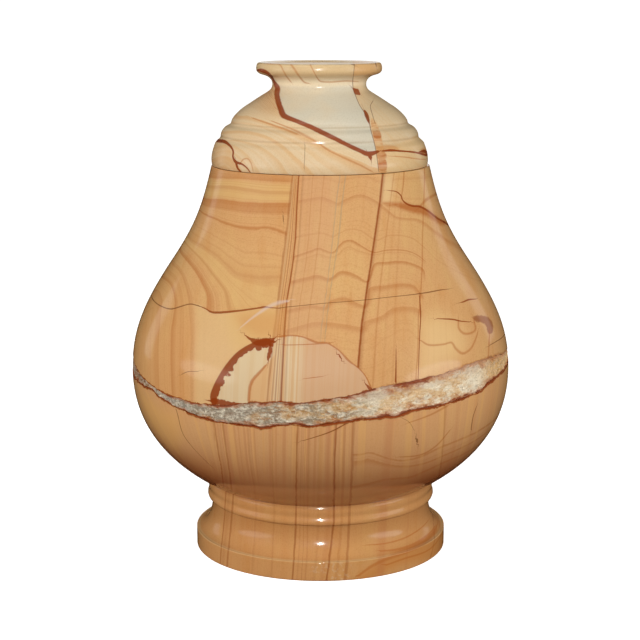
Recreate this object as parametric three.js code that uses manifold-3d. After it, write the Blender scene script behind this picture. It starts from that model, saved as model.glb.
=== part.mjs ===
// Cremation urn turned from banded stone, in two pieces: a footed, hollow, pear-shaped
// body, and a domed lid that lifts off.
// Millimetres, +Z up, the origin in the middle of the underside.
import * as THREE from 'three';
import { mergeVertices } from 'three/addons/utils/BufferGeometryUtils.js';
import Module from 'manifold-3d';

const wasm = await Module();
wasm.setup();

// Foot: a flat plinth, and a hollow moulding that sweeps in and up to a waist
const plinthRadius = 70.3;
const plinthHeight = 10.6;
const undersideEasing = 0.9;
const arrisEasing = 0.4;
const waistRadius = 61;
const coveHeight = 17.4;

// Collar under the bowl: two soft beads with a shallow valley between them
const lowerBeadRadius = 63.8;
const lowerBeadHeight = 5.2;
const upperBeadRadius = 63.3;
const upperBeadHeight = 5.8;
const valleyRadius = 62.9;
const beadUnderside = 1.2;

// Bowl, from the collar out to the belly and in over the shoulder to the mouth
const bowlBaseRadius = 62.6;
const bowlBaseSlope = THREE.MathUtils.degToRad(28.9);
const bowlBasePull = 26.8;
const bowlHeight = 63;
const bellyRadius = 104.7;
const bellyPullDown = 30.5;
const bellyPullUp = 20.8;
const shoulderHeight = 60.6;
const shoulderRadius = 81.8;
const shoulderLean = THREE.MathUtils.degToRad(33.9);
const shoulderPullDown = 30.8;
const shoulderPullUp = 23;
const neckHeight = 52;
const mouthRadius = 59.6;
const mouthLean = THREE.MathUtils.degToRad(13.5);
const mouthPull = 23.3;
const lipEasing = 0.5;

// Hollow of the body
const wall = 9;
const floorThickness = 12;
const floorCorner = 14;
const boreRadius = 48.6;
const boreDepth = 14;

// Natural crystal seam round the belly: a shallow rough groove with wandering edges
const seamDepth = 1;
const seamHeight = 5.1;
const seamHalfWidth = 4.3;
const seamNarrowest = 1.2;
const seamWander = [
  { turns: 1, size: 4.6, lag: THREE.MathUtils.degToRad(154) },
  { turns: 2, size: 4.3, lag: THREE.MathUtils.degToRad(118) },
];
const seamSwell = [
  { turns: 1, size: 1.7, lag: THREE.MathUtils.degToRad(-4) },
  { turns: 2, size: 2.5, lag: THREE.MathUtils.degToRad(66) },
];

// Lid, from its seat up: rolled skirt, bead, domed shoulder, neck and flared rim
const seatGap = 0.3;
const skirtRadius = 59.6;
const skirtCrown = 2.2;
const skirtTopRadius = 57;
const skirtHeight = 11.8;
const stepRadius = 53.9;
const stepHeight = 3.9;
const beadTopRadius = 51.7;
const beadHeight = 4.4;
const shoulderFootRadius = 47.9;
const shoulderFootHeight = 3;
const domeRadius = 38.5;
const domeHeight = 9.6;
const neckFootRadius = 28.3;
const neckFootHeight = 6.5;
const neckRadius = 25.5;
const neckCoveHeight = 8.6;
const rimRadius = 34.1;
const rimUndercut = 3.4;
const rimHeight = 7.2;
const rimEasing = 1.6;
const dishRadius = 26;
const dishDepth = 2;

// Underside of the lid: a ring that drops into the mouth, round a domed hollow
const spigotClearance = 0.8;
const spigotThickness = 6;
const spigotDepth = 8;
const lidHollowWall = 15;
const lidHollowRise = 16;

// Fineness of the solids
const sides = 52;
const weldTolerance = 1e-4;

// Heights above the underside
const coveTop = plinthHeight + coveHeight;
const valleyLevel = coveTop + lowerBeadHeight;
const bowlBase = valleyLevel + upperBeadHeight;
const bellyLevel = bowlBase + bowlHeight;
const shoulderLevel = bellyLevel + shoulderHeight;
const mouthLevel = shoulderLevel + neckHeight;
const lidSeat = mouthLevel + seatGap;
const skirtTop = lidSeat + skirtHeight;
const stepTop = skirtTop + stepHeight;
const beadTop = stepTop + beadHeight;
const shoulderFoot = beadTop + shoulderFootHeight;
const domeTop = shoulderFoot + domeHeight;
const neckFoot = domeTop + neckFootHeight;
const rimFoot = neckFoot + neckCoveHeight;
const rimTop = rimFoot + rimHeight;

const at = (radius, height) => new THREE.Vector2(radius, height);

// Points of a cubic curve after its first one, so that stretches join end to end
function bend(from, pullFrom, pullTo, to, steps) {
  return new THREE.CubicBezierCurve(from, pullFrom, pullTo, to).getPoints(steps).slice(1);
}

// Quarter of an ellipse between two points, leaving the first one along the radius
function sweep(from, to, steps) {
  const points = [];
  for (let i = 1; i <= steps; i += 1) {
    const turn = (i / steps) * (Math.PI / 2);
    const radius = from.x + (to.x - from.x) * Math.sin(turn);
    const height = from.y + (to.y - from.y) * (1 - Math.cos(turn));
    points.push(at(radius, height));
  }
  return points;
}

// Point at a distance from another, along a direction that leans in from the vertical
const along = (point, lean, distance) => at(
  point.x - Math.sin(lean) * distance,
  point.y + Math.cos(lean) * distance,
);

// The curves that shape the outside of the bowl, from the collar to the mouth
const bowlStart = at(bowlBaseRadius, bowlBase);
const belly = at(bellyRadius, bellyLevel);
const shoulder = at(shoulderRadius, shoulderLevel);
const mouth = at(mouthRadius, mouthLevel);
const bowlCurves = [
  new THREE.CubicBezierCurve(
    bowlStart,
    at(
      bowlStart.x + bowlBasePull * Math.cos(bowlBaseSlope),
      bowlStart.y + bowlBasePull * Math.sin(bowlBaseSlope),
    ),
    at(belly.x, belly.y - bellyPullDown),
    belly,
  ),
  new THREE.CubicBezierCurve(
    belly,
    at(belly.x, belly.y + bellyPullUp),
    along(shoulder, shoulderLean, -shoulderPullDown),
    shoulder,
  ),
  new THREE.CubicBezierCurve(
    shoulder,
    along(shoulder, shoulderLean, shoulderPullUp),
    along(mouth, mouthLean, -mouthPull),
    mouth,
  ),
];

// Outer radius of the bowl at a height, read between closely spaced points of its curves
const bowlReading = bowlCurves.flatMap((curve) => curve.getPoints(60));
function bowlRadiusAt(height) {
  const upper = bowlReading.findIndex((point) => point.y >= height);
  const above = bowlReading[Math.max(upper, 1)];
  const below = bowlReading[Math.max(upper, 1) - 1];
  const share = above.y > below.y ? (height - below.y) / (above.y - below.y) : 0;
  return below.x + (above.x - below.x) * share;
}

// Outside of the bowl moved in by the wall, between two heights
function hollowSide(lowest, highest, steps) {
  const points = [];
  for (const curve of bowlCurves) {
    for (let i = 0; i <= steps; i += 1) {
      const share = i / steps;
      const point = curve.getPoint(share);
      const tangent = curve.getTangent(share);
      const inner = at(point.x - tangent.y * wall, point.y + tangent.x * wall);
      const last = points[points.length - 1];
      const apart = !last || inner.distanceTo(last) > wall / 4;
      if (apart && inner.y > lowest && inner.y < highest) {
        points.push(inner);
      }
    }
  }
  return points;
}

// A closed profile turned about the vertical axis into a solid
function turned(profile) {
  const geometry = new THREE.LatheGeometry(profile, sides);
  geometry.rotateX(Math.PI / 2);
  return toSolid(geometry);
}

// A three.js mesh as a solid that can be joined or cut
function toSolid(geometry) {
  geometry.deleteAttribute('normal');
  geometry.deleteAttribute('uv');
  const merged = mergeVertices(geometry, weldTolerance);
  const index = Array.from(merged.index.array);
  const corners = [];
  for (let i = 0; i < index.length; i += 3) {
    const [a, b, c] = index.slice(i, i + 3);
    if (a !== b && b !== c && c !== a) {
      corners.push(a, b, c);
    }
  }
  return new wasm.Manifold(new wasm.Mesh({
    numProp: 3,
    vertProperties: new Float32Array(merged.attributes.position.array),
    triVerts: new Uint32Array(corners),
  }));
}

// A finished solid as a named mesh with its own material
function toMesh(name, solid, material) {
  const result = solid.getMesh();
  const geometry = new THREE.BufferGeometry();
  geometry.setAttribute('position', new THREE.BufferAttribute(result.vertProperties, 3));
  geometry.setIndex(new THREE.BufferAttribute(result.triVerts, 1));
  geometry.computeVertexNormals();
  const mesh = new THREE.Mesh(geometry, material);
  mesh.name = name;
  return mesh;
}

// Outside of the foot and collar, from the axis up to where the bowl starts
function footProfile() {
  const arris = at(plinthRadius, plinthHeight - arrisEasing);
  const ledge = at(plinthRadius - arrisEasing, plinthHeight);
  const waist = at(waistRadius, coveTop);
  const lowerBead = at(lowerBeadRadius, coveTop + beadUnderside + lowerBeadHeight / 8);
  const valley = at(valleyRadius, valleyLevel);
  const upperBead = at(upperBeadRadius, valleyLevel + upperBeadHeight / 2.4);
  return [
    at(0, 0),
    at(plinthRadius - undersideEasing, 0),
    at(plinthRadius, undersideEasing),
    arris,
    ledge,
    ...sweep(ledge, waist, 5),
    at(lowerBeadRadius - beadUnderside, coveTop + beadUnderside / 4),
    lowerBead,
    at(lowerBeadRadius - beadUnderside / 6, (lowerBead.y + valleyLevel) / 2),
    valley,
    upperBead,
    bowlStart,
  ];
}

// Inside of the body, from the mouth down the bore and the hollow to the floor
function hollowProfile() {
  const floorLevel = bowlBase + floorThickness;
  const boreFoot = at(boreRadius, mouthLevel - boreDepth);
  const sidePoints = hollowSide(floorLevel + floorCorner / 2, boreFoot.y - wall / 4, 4);
  const lowest = sidePoints[0];
  return [
    at(boreRadius + lipEasing, mouthLevel),
    at(boreRadius, mouthLevel - lipEasing),
    boreFoot,
    ...sidePoints.reverse(),
    at(lowest.x - floorCorner, floorLevel),
    at(0, floorLevel),
  ];
}

// Swing of the seam at an angle round the axis, as a sum of slow waves
function waves(list, angle) {
  return list.reduce((sum, wave) => sum + wave.size * Math.cos(wave.turns * angle - wave.lag), 0);
}

// Ring that cuts the seam's groove: its rows follow the seam's edges at each angle, its
// inner face lies under the bowl's surface by the groove's depth
function seamCutter() {
  const clear = 2 * seamDepth;
  const rows = [1, 0, -1];
  const placeholder = [
    ...rows.map((row) => at(bellyRadius - 1, row)),
    at(bellyRadius + 1, -1),
    at(bellyRadius + 1, 1),
    at(bellyRadius - 1, 1),
  ];
  const ring = new THREE.LatheGeometry(placeholder, sides);
  ring.rotateX(Math.PI / 2);
  const position = ring.attributes.position;
  for (let i = 0; i < position.count; i += 1) {
    const x = position.getX(i);
    const y = position.getY(i);
    const row = position.getZ(i);
    const angle = Math.atan2(x, -y);
    const halfWidth = Math.max(seamNarrowest, seamHalfWidth + waves(seamSwell, angle));
    const height = bellyLevel + seamHeight + waves(seamWander, angle) + row * halfWidth;
    const isInner = Math.hypot(x, y) < bellyRadius;
    const radius = bowlRadiusAt(height) + (isInner ? -seamDepth : clear);
    position.setXYZ(i, radius * Math.sin(angle), -radius * Math.cos(angle), height);
  }
  return toSolid(ring);
}

// The body: foot, collar and bowl turned as one block, hollowed from the mouth
function urnBody() {
  const lip = [
    at(mouthRadius - lipEasing, mouthLevel),
  ];
  const bowlOutside = bowlCurves.flatMap((curve, order) => {
    const points = curve.getPoints([8, 6, 5][order]).slice(1);
    return order === bowlCurves.length - 1 ? points.slice(0, -1) : points;
  });
  const lipFoot = along(mouth, mouthLean, -lipEasing);
  const outside = [...footProfile(), ...bowlOutside, lipFoot, ...lip];
  return turned([...outside, ...hollowProfile()]).subtract(seamCutter());
}

// The lid: turned mouldings outside, and a locating ring round a domed hollow below
function urnLid() {
  const spigotRadius = boreRadius - spigotClearance;
  const hollowRadius = spigotRadius - spigotThickness;
  const spigotFoot = lidSeat - spigotDepth;
  const hollowSpring = Math.min(stepTop, lidSeat + lidHollowWall);
  const skirtFoot = at(skirtRadius - lipEasing, lidSeat);
  const crown = at(skirtRadius, lidSeat + skirtCrown);
  const skirtEnd = at(skirtTopRadius, skirtTop);
  const step = at(stepRadius, stepTop);
  const bead = at(beadTopRadius, beadTop);
  const foot = at(shoulderFootRadius, shoulderFoot);
  const dome = at(domeRadius, domeTop);
  const neckStart = at(neckFootRadius, neckFoot);
  const neck = at(neckRadius, neckFoot + neckCoveHeight / 2);
  const rimStart = at(rimRadius - rimUndercut, rimFoot);
  const rim = at(rimRadius, (rimFoot + rimTop) / 2);
  const domeLean = Math.atan2(dome.x - neckStart.x, neckStart.y - dome.y);
  const outside = [
    skirtFoot,
    crown,
    ...bend(crown, at(crown.x, crown.y + 3.2), along(skirtEnd, 0.42, -2.6), skirtEnd, 3),
    ...bend(skirtEnd, along(skirtEnd, 0.6, 1.6), at(step.x, step.y - 2), step, 3),
    ...bend(step, at(step.x, step.y + 2), along(bead, 0.85, -1.2), bead, 2),
    ...bend(bead, along(bead, 0.95, 2.2), at(foot.x, foot.y - 1.8), foot, 2),
    ...bend(foot, at(foot.x - 0.6, foot.y + 2), along(dome, domeLean, -4.5), dome, 3),
    neckStart,
    ...bend(neckStart, along(neckStart, domeLean, 2.4), at(neck.x, neck.y - 2.4), neck, 3),
    ...bend(neck, at(neck.x, neck.y + 2.8), at(rimStart.x - 2.6, rimStart.y - 0.5), rimStart, 3),
    at(rimRadius - rimEasing / 2, rimFoot + rimEasing),
    rim,
    at(rimRadius - rimEasing / 3, rimTop - rimEasing),
    at(rimRadius - rimEasing, rimTop),
    at(dishRadius, rimTop),
    at(0, rimTop - dishDepth),
  ];
  const inside = [
    at(0, hollowSpring + lidHollowRise),
    ...sweep(at(0, hollowSpring + lidHollowRise), at(hollowRadius, hollowSpring), 4),
    at(hollowRadius, spigotFoot),
    at(spigotRadius - lipEasing, spigotFoot),
    at(spigotRadius, spigotFoot + lipEasing),
    at(spigotRadius, lidSeat),
  ];
  return turned([...inside, ...outside]);
}

// Colours of the stone: a warm tan body and a paler, creamier lid, both polished
const bodyStone = new THREE.MeshStandardMaterial({ color: 0xd2a069, roughness: 0.18, metalness: 0 });
const lidStone = new THREE.MeshStandardMaterial({ color: 0xdfc79b, roughness: 0.18, metalness: 0 });

const urn = new THREE.Group();
urn.add(toMesh('urn_body', urnBody(), bodyStone));
urn.add(toMesh('lid', urnLid(), lidStone));

export default urn;
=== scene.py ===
import math

import bpy
import numpy as np
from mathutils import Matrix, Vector, noise


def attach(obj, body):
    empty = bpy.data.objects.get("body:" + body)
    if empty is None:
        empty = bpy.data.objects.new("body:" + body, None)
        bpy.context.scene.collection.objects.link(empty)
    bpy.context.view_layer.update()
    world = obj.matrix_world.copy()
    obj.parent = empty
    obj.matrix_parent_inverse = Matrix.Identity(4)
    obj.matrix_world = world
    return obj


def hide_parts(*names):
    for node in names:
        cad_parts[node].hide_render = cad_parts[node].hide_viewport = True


# Cremation urn of banded stone. Both nodes of the frame are replaced by fine turned
# meshes, and a third piece is the crystal seam round the belly. The stone's figure is
# held as fields on the vertices: stratum numbers that rise across a family of veins, and
# distances to single cracks. The materials turn those fields into colour.

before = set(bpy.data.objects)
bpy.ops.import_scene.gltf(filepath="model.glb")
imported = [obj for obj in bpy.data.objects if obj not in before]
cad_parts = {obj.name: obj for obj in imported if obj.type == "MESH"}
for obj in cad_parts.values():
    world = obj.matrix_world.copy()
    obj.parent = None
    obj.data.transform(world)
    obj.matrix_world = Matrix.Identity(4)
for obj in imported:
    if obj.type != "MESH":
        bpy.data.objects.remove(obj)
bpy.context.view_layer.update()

MM = 0.001

# Camera, found from the ellipses of the foot, collar, seat and rim (millimetres, pixels)
FRAME_PX = 640
LENS_PX = 1661.66
SENSOR_MM = 36
CAMERA_DISTANCE = 909.5
CAMERA_HEIGHT = 304.7
CAMERA_DIP = math.radians(11.009)
AXIS_PX = 320.5

# Turned outline: the same driving sizes as the solids
PLINTH_RADIUS = 70.3
PLINTH_HEIGHT = 10.6
UNDERSIDE_EASING = 0.9
ARRIS_EASING = 0.45
WAIST_RADIUS = 61
COVE_HEIGHT = 17.4
LOWER_BEAD_RADIUS = 63.8
LOWER_BEAD_HEIGHT = 5.2
VALLEY_RADIUS = 62.95
UPPER_BEAD_RADIUS = 63.35
UPPER_BEAD_HEIGHT = 5.8
BOWL_BASE_RADIUS = 62.6
BOWL_BASE_SLOPE = math.radians(28.9)
BOWL_BASE_PULL = 26.8
BOWL_HEIGHT = 63
BELLY_RADIUS = 104.7
BELLY_PULL_DOWN = 30.5
BELLY_PULL_UP = 20.8
SHOULDER_HEIGHT = 60.6
SHOULDER_RADIUS = 81.8
SHOULDER_LEAN = math.radians(33.9)
SHOULDER_PULL_DOWN = 30.8
SHOULDER_PULL_UP = 23
NECK_HEIGHT = 52
MOUTH_RADIUS = 59.6
MOUTH_LEAN = math.radians(13.5)
MOUTH_PULL = 23.3
LIP_EASING = 0.5
WALL = 9
FLOOR_THICKNESS = 12
FLOOR_CORNER = 14
BORE_RADIUS = 48.6
BORE_DEPTH = 14
SEAT_GAP = 0.3

COVE_TOP = PLINTH_HEIGHT + COVE_HEIGHT
VALLEY_LEVEL = COVE_TOP + LOWER_BEAD_HEIGHT
BOWL_BASE = VALLEY_LEVEL + UPPER_BEAD_HEIGHT
BELLY_LEVEL = BOWL_BASE + BOWL_HEIGHT
SHOULDER_LEVEL = BELLY_LEVEL + SHOULDER_HEIGHT
MOUTH_LEVEL = SHOULDER_LEVEL + NECK_HEIGHT
LID_SEAT = MOUTH_LEVEL + SEAT_GAP

# Crystal seam round the back, as in the solids
SEAM_DEPTH = 1.1
SEAM_HEIGHT = 5.1
SEAM_LEVEL = BELLY_LEVEL + SEAM_HEIGHT
SEAM_HALF_WIDTH = 4.3
SEAM_NARROWEST = 1.2
SEAM_WANDER = [(1, 4.6, math.radians(154)), (2, 4.3, math.radians(118))]
SEAM_SWELL = [(1, 1.7, math.radians(-4)), (2, 2.5, math.radians(66))]

# Angle from the front at which the listed edges give way to it, and over how far
SEAM_READ_END = math.radians(125)
SEAM_READ_FADE = math.radians(45)

# The lid sits a little to the left in its play, and leans that way
LID_SHIFT = 0.42
LID_LEAN = 0.006

# Level from which the lid's colours are measured, and innermost row of the underside
LID_MARK = 254
UNDERSIDE_ROW = 34

# Strokes: half a photograph pixel on the front, reach round a line, least half width,
# greatest ratio, and the mask near a line, which falls to 0 at END times UNIT
HALF_PX = 0.275
REACH = 9
THINNEST = 0.03
FAR = 60.0
MASK_END = 2.2
MASK_UNIT = 2.2

# Behind the axis: tilt of the strata, scales of its waves, depth where strokes end, and
# greatest value that an area's field has there
BACK_TILT = 0.16
TILT_WAVE_DEEP = 40
TILT_WAVE_WIDE = 60
STROKES_END = 5
AREAS_GONE = -5

# Half of the front, where the columns of a mesh are closer together
FRONT_HALF = math.radians(100)

# Number of layers that each set of strokes takes, filled in as the fields are made
LAYERS = {}


# Curves

def bezier(a, b, c, d, count=40):
    """Points of a cubic curve, first and last included."""
    t = np.linspace(0, 1, count + 1)[:, None]
    a, b, c, d = (np.asarray(p, float) for p in (a, b, c, d))
    return (1 - t) ** 3 * a + 3 * (1 - t) ** 2 * t * b + 3 * (1 - t) * t * t * c + t ** 3 * d


def lean_from(point, lean, distance):
    """Point at a distance along a direction that leans in from the vertical."""
    return (point[0] - math.sin(lean) * distance, point[1] + math.cos(lean) * distance)


def sweep(a, b, count=40):
    """Quarter of an ellipse that leaves its first point along the radius."""
    turn = np.linspace(0, math.pi / 2, count + 1)
    radius = a[0] + (b[0] - a[0]) * np.sin(turn)
    height = a[1] + (b[1] - a[1]) * (1 - np.cos(turn))
    return np.stack([radius, height], 1)


def joined(*stretches):
    """One outline of stretches that meet end to end."""
    points = [np.atleast_2d(np.asarray(s, float)) for s in stretches]
    line = np.vstack(points)
    keep = np.ones(len(line), bool)
    keep[1:] = np.hypot(*(line[1:] - line[:-1]).T) > 1e-6
    return line[keep]


def lengths(line):
    """Length along a line at each of its points."""
    return np.concatenate([[0], np.cumsum(np.hypot(*(line[1:] - line[:-1]).T))])


def smooth_line(points, steps=5):
    """Catmull-Rom curve through given points."""
    p = np.asarray(points, float)
    if len(p) < 3:
        return p
    p = np.vstack([2 * p[0] - p[1], p, 2 * p[-1] - p[-2]])
    out = []
    for i in range(1, len(p) - 2):
        for j in range(steps):
            t = j / steps
            a, b, c, d = p[i - 1], p[i], p[i + 1], p[i + 2]
            out.append(0.5 * (2 * b + (c - a) * t + (2 * a - 5 * b + 4 * c - d) * t * t
                              + (3 * b - a - 3 * c + d) * t ** 3))
    out.append(p[-2])
    return np.array(out)


# Outlines of the two turned blocks, radius and height in millimetres

def foot_outline():
    arris = (PLINTH_RADIUS, PLINTH_HEIGHT - ARRIS_EASING)
    ledge = (PLINTH_RADIUS - ARRIS_EASING, PLINTH_HEIGHT)
    waist = (WAIST_RADIUS, COVE_TOP - 0.3)
    nook = (WAIST_RADIUS + 0.3, COVE_TOP)
    lower = (LOWER_BEAD_RADIUS, COVE_TOP + 2)
    valley = (VALLEY_RADIUS, VALLEY_LEVEL)
    upper = (UPPER_BEAD_RADIUS, VALLEY_LEVEL + 2.4)
    base = (BOWL_BASE_RADIUS, BOWL_BASE)
    return joined(
        (PLINTH_RADIUS - UNDERSIDE_EASING, 0),
        bezier((PLINTH_RADIUS - UNDERSIDE_EASING, 0), (PLINTH_RADIUS - 0.3, 0),
               (PLINTH_RADIUS, 0.3), (PLINTH_RADIUS, UNDERSIDE_EASING), 8),
        bezier(arris, (arris[0], ledge[1] - 0.1), (arris[0] - 0.1, ledge[1]), ledge, 8),
        sweep(ledge, waist),
        bezier(nook, (nook[0] + 1.3, nook[1]), (lower[0], lower[1] - 1.4), lower),
        bezier(lower, (lower[0], lower[1] + 1.5), (valley[0], valley[1] - 1), valley),
        bezier(valley, (valley[0], valley[1] + 0.8), (upper[0], upper[1] - 1.3), upper),
        bezier(upper, (upper[0], upper[1] + 1.5), (base[0] + 0.5, base[1] - 1), base),
    )


def bowl_outline():
    base = (BOWL_BASE_RADIUS, BOWL_BASE)
    belly = (BELLY_RADIUS, BELLY_LEVEL)
    shoulder = (SHOULDER_RADIUS, SHOULDER_LEVEL)
    mouth = (MOUTH_RADIUS, MOUTH_LEVEL)
    out = (base[0] + BOWL_BASE_PULL * math.cos(BOWL_BASE_SLOPE),
           base[1] + BOWL_BASE_PULL * math.sin(BOWL_BASE_SLOPE))
    return joined(
        bezier(base, out, (belly[0], belly[1] - BELLY_PULL_DOWN), belly, 200),
        bezier(belly, (belly[0], belly[1] + BELLY_PULL_UP),
               lean_from(shoulder, SHOULDER_LEAN, -SHOULDER_PULL_DOWN), shoulder, 200),
        bezier(shoulder, lean_from(shoulder, SHOULDER_LEAN, SHOULDER_PULL_UP),
               lean_from(mouth, MOUTH_LEAN, -MOUTH_PULL), mouth, 200),
    )


def hollow_outline():
    """Inside of the body, from the lip down the bore to the middle of the floor."""
    bowl = bowl_outline()
    tangent = np.gradient(bowl, axis=0)
    tangent /= np.hypot(*tangent.T)[:, None]
    inner = bowl + WALL * np.stack([-tangent[:, 1], tangent[:, 0]], 1)
    floor = BOWL_BASE + FLOOR_THICKNESS
    bore_foot = MOUTH_LEVEL - BORE_DEPTH
    side = inner[(inner[:, 1] > floor + FLOOR_CORNER / 2) & (inner[:, 1] < bore_foot - 2)]
    low = side[0]
    corner = bezier(low, (low[0] - 6, low[1] - 5), (low[0] - FLOOR_CORNER, floor),
                    (low[0] - FLOOR_CORNER - 6, floor), 10)
    bore = [(BORE_RADIUS + LIP_EASING, MOUTH_LEVEL), (BORE_RADIUS, MOUTH_LEVEL - LIP_EASING),
            (BORE_RADIUS, bore_foot)]
    return joined(bore, side[::-24], corner, (0, floor))


# Lid from its seat up: the two pulls and the end of each stretch, as radius and height over
# the seat, and its number of steps
SEAT_RADIUS = 58.7
LID_STRETCHES = [
    # Skirt and the step over it
    ((58.95, 0.1), (59.1, 1.1), (59.15, 2.2), 10),
    ((59.3, 5.7), (58.2, 8.7), (57.0, 11.8), 40),
    ((56.2, 13.3), (53.95, 14.0), (53.9, 15.7), 40),
    # Bead
    ((53.85, 17.7), (52.9, 18.8), (51.8, 20.1), 40),
    ((50.5, 21.3), (48.1, 21.7), (48.05, 23.1), 40),
    # Domed shoulder and neck
    ((47.9, 25.3), (43.4, 29.9), (38.5, 32.7), 40),
    ((35.2, 34.9), (31.5, 37.3), (28.3, 39.2), 40),
    ((26.2, 40.5), (25.5, 41.8), (25.5, 43.5), 40),
    # Flared rim
    ((25.5, 46.1), (27.6, 47.8), (30.7, 48.5), 40),
    ((32.6, 49.0), (34.1, 49.8), (34.13, 51.6), 40),
    ((34.13, 52.7), (33.95, 54.0), (33.4, 54.55), 40),
    ((33.1, 54.9), (32.8, 55.08), (32.3, 55.1), 12),
    # Shallow dished top
    ((31, 55.12), (28, 55.0), (25, 54.0), 12),
    ((18, 53.2), (9, 53.1), (0, 53.1), 10),
]

# Underside of the lid: a ring that fits the bore, and a hollow inside it
SPIGOT_PLAY = 0.8
SPIGOT_WALL = 6
SPIGOT_DEPTH = 8
HOLLOW_SPRING = 15
HOLLOW_RISE = 16


def lid_outline():
    """Outside of the lid, from the seat over the mouldings to the middle of its top."""
    line = np.array([(SEAT_RADIUS, 0)])
    for pull, last_pull, end, count in LID_STRETCHES:
        line = joined(line, bezier(line[-1], pull, last_pull, end, count))
    return line + (0, LID_SEAT)


def lid_inside():
    """Underside of the lid, from the top of its hollow out round the locating ring."""
    spigot = BORE_RADIUS - SPIGOT_PLAY
    hollow = spigot - SPIGOT_WALL
    foot = LID_SEAT - SPIGOT_DEPTH
    spring = LID_SEAT + HOLLOW_SPRING
    return joined(
        sweep((0, spring + HOLLOW_RISE), (hollow, spring), 16),
        [(hollow, foot + 0.4), (hollow + 0.4, foot), (spigot - 0.5, foot), (spigot, foot + 0.5),
         (spigot, LID_SEAT), (SEAT_RADIUS, LID_SEAT)],
    )


FOOT = foot_outline()
BOWL = bowl_outline()
LID = lid_outline()
FRONT = joined(FOOT, BOWL, LID[LID[:, 1] > LID_SEAT + 0.1])


def outer_radius(z):
    """Radius of the outline at a height: the outermost where it doubles back."""
    order = np.argsort(FRONT[:, 1], kind="stable")
    return np.interp(z, FRONT[order, 1], FRONT[order, 0])


# From the photograph's pixels to the urn's front

def place(pixels):
    """Width and height (x, z) on the front of the urn that given pixels show."""
    px = np.atleast_2d(np.asarray(pixels, float))
    across = (px[:, 0] - AXIS_PX) / LENS_PX
    up = (FRAME_PX / 2 - px[:, 1]) / LENS_PX
    ray_y = math.cos(CAMERA_DIP) + up * math.sin(CAMERA_DIP)
    ray_z = -math.sin(CAMERA_DIP) + up * math.cos(CAMERA_DIP)

    def outside(t):
        x, y = across * t, ray_y * t - CAMERA_DISTANCE
        return np.hypot(x, y) - outer_radius(CAMERA_HEIGHT + ray_z * t)

    nearest, farthest, stride = 780.0, 990.0, 0.5
    halvings = 14
    best = np.full(len(px), nearest)
    closest = np.full(len(px), 1e9)
    found = np.zeros(len(px), bool)
    for t in np.arange(nearest, farthest, stride):
        gap = outside(np.full(len(px), t))
        better = (gap < closest) & ~found
        best[better] = t
        closest[better] = gap[better]
        found |= gap < 0
    low, high = best - stride, best.copy()
    for _ in range(halvings):
        middle = (low + high) / 2
        inside = outside(middle) < 0
        high = np.where(inside, middle, high)
        low = np.where(inside, low, middle)
    t = np.where(found, high, best)
    return np.stack([across * t, CAMERA_HEIGHT + ray_z * t], 1)


# Fields over the front, in millimetres

def side_distance(line, x, z, open_ends=False):
    """Signed distance to a line: positive on its right as it runs. Also the share along."""
    best = np.full(x.shape, 1e9)
    sign = np.ones(x.shape)
    share = np.zeros(x.shape)
    along = lengths(line)
    for i in range(len(line) - 1):
        ax, az = line[i]
        bx, bz = line[i + 1]
        dx, dz = bx - ax, bz - az
        long2 = dx * dx + dz * dz
        if long2 < 1e-9:
            continue
        t = ((x - ax) * dx + (z - az) * dz) / long2
        low = -1e6 if open_ends and i == 0 else 0
        high = 1e6 if open_ends and i == len(line) - 2 else 1
        t = np.clip(t, low, high)
        ex, ez = x - ax - t * dx, z - az - t * dz
        distance = np.hypot(ex, ez)
        nearer = distance < best
        best[nearer] = distance[nearer]
        sign[nearer] = np.sign(dz * (x - ax) - dx * (z - az) + 1e-12)[nearer]
        share[nearer] = (along[i] + np.clip(t, 0, 1) * (along[i + 1] - along[i]))[nearer]
    return best * sign, share / max(along[-1], 1e-9)


def upright_family(curves, x, z):
    """Stratum number across a family of upright veins, 1 on the first, from the left."""
    at = []
    for curve in curves:
        line = place(curve)
        order = np.argsort(line[:, 1])
        at.append(np.interp(z, line[order, 1], line[order, 0]))
    number = np.ones(x.shape)
    for left, right in zip(at[:-1], at[1:]):
        number += np.clip((x - left) / np.maximum(right - left, 0.3), 0, 1)
    number += np.minimum(x - at[0], 0) / 10 + np.maximum(x - at[-1], 0) / 10
    return number


def nested_family(curves, x, z):
    """Stratum number across a family of nested curves, each run from left to right."""
    sides = [side_distance(smooth_line(place(c)), x, z, True)[0] for c in curves]
    number = np.ones(x.shape)
    for before, after in zip(sides[:-1], sides[1:]):
        between = np.abs(before) / (np.abs(before) + np.abs(after) + 1e-9)
        number += np.where(before <= 0, 0, np.where(after >= 0, 1, between))
    number += np.minimum(sides[0], 0) / 10 + np.maximum(sides[-1], 0) / 10
    return number


def stroke_layers(paths):
    """Paths shared out over layers, so that none comes near another in its layer.

    The sign of a distance jumps between two lines, and the jump would show as a line."""
    layers = []
    for path in paths:
        line = smooth_line(place(np.asarray(path, float)[:, :2]), 4)
        for layer in layers:
            gaps = [np.hypot(*(line[:, None] - other[None]).transpose(2, 0, 1)).min()
                    for other, _ in layer]
            if min(gaps) > REACH:
                layer.append((line, path))
                break
        else:
            layers.append([(line, path)])
    return [[path for _, path in layer] for layer in layers]


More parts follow.
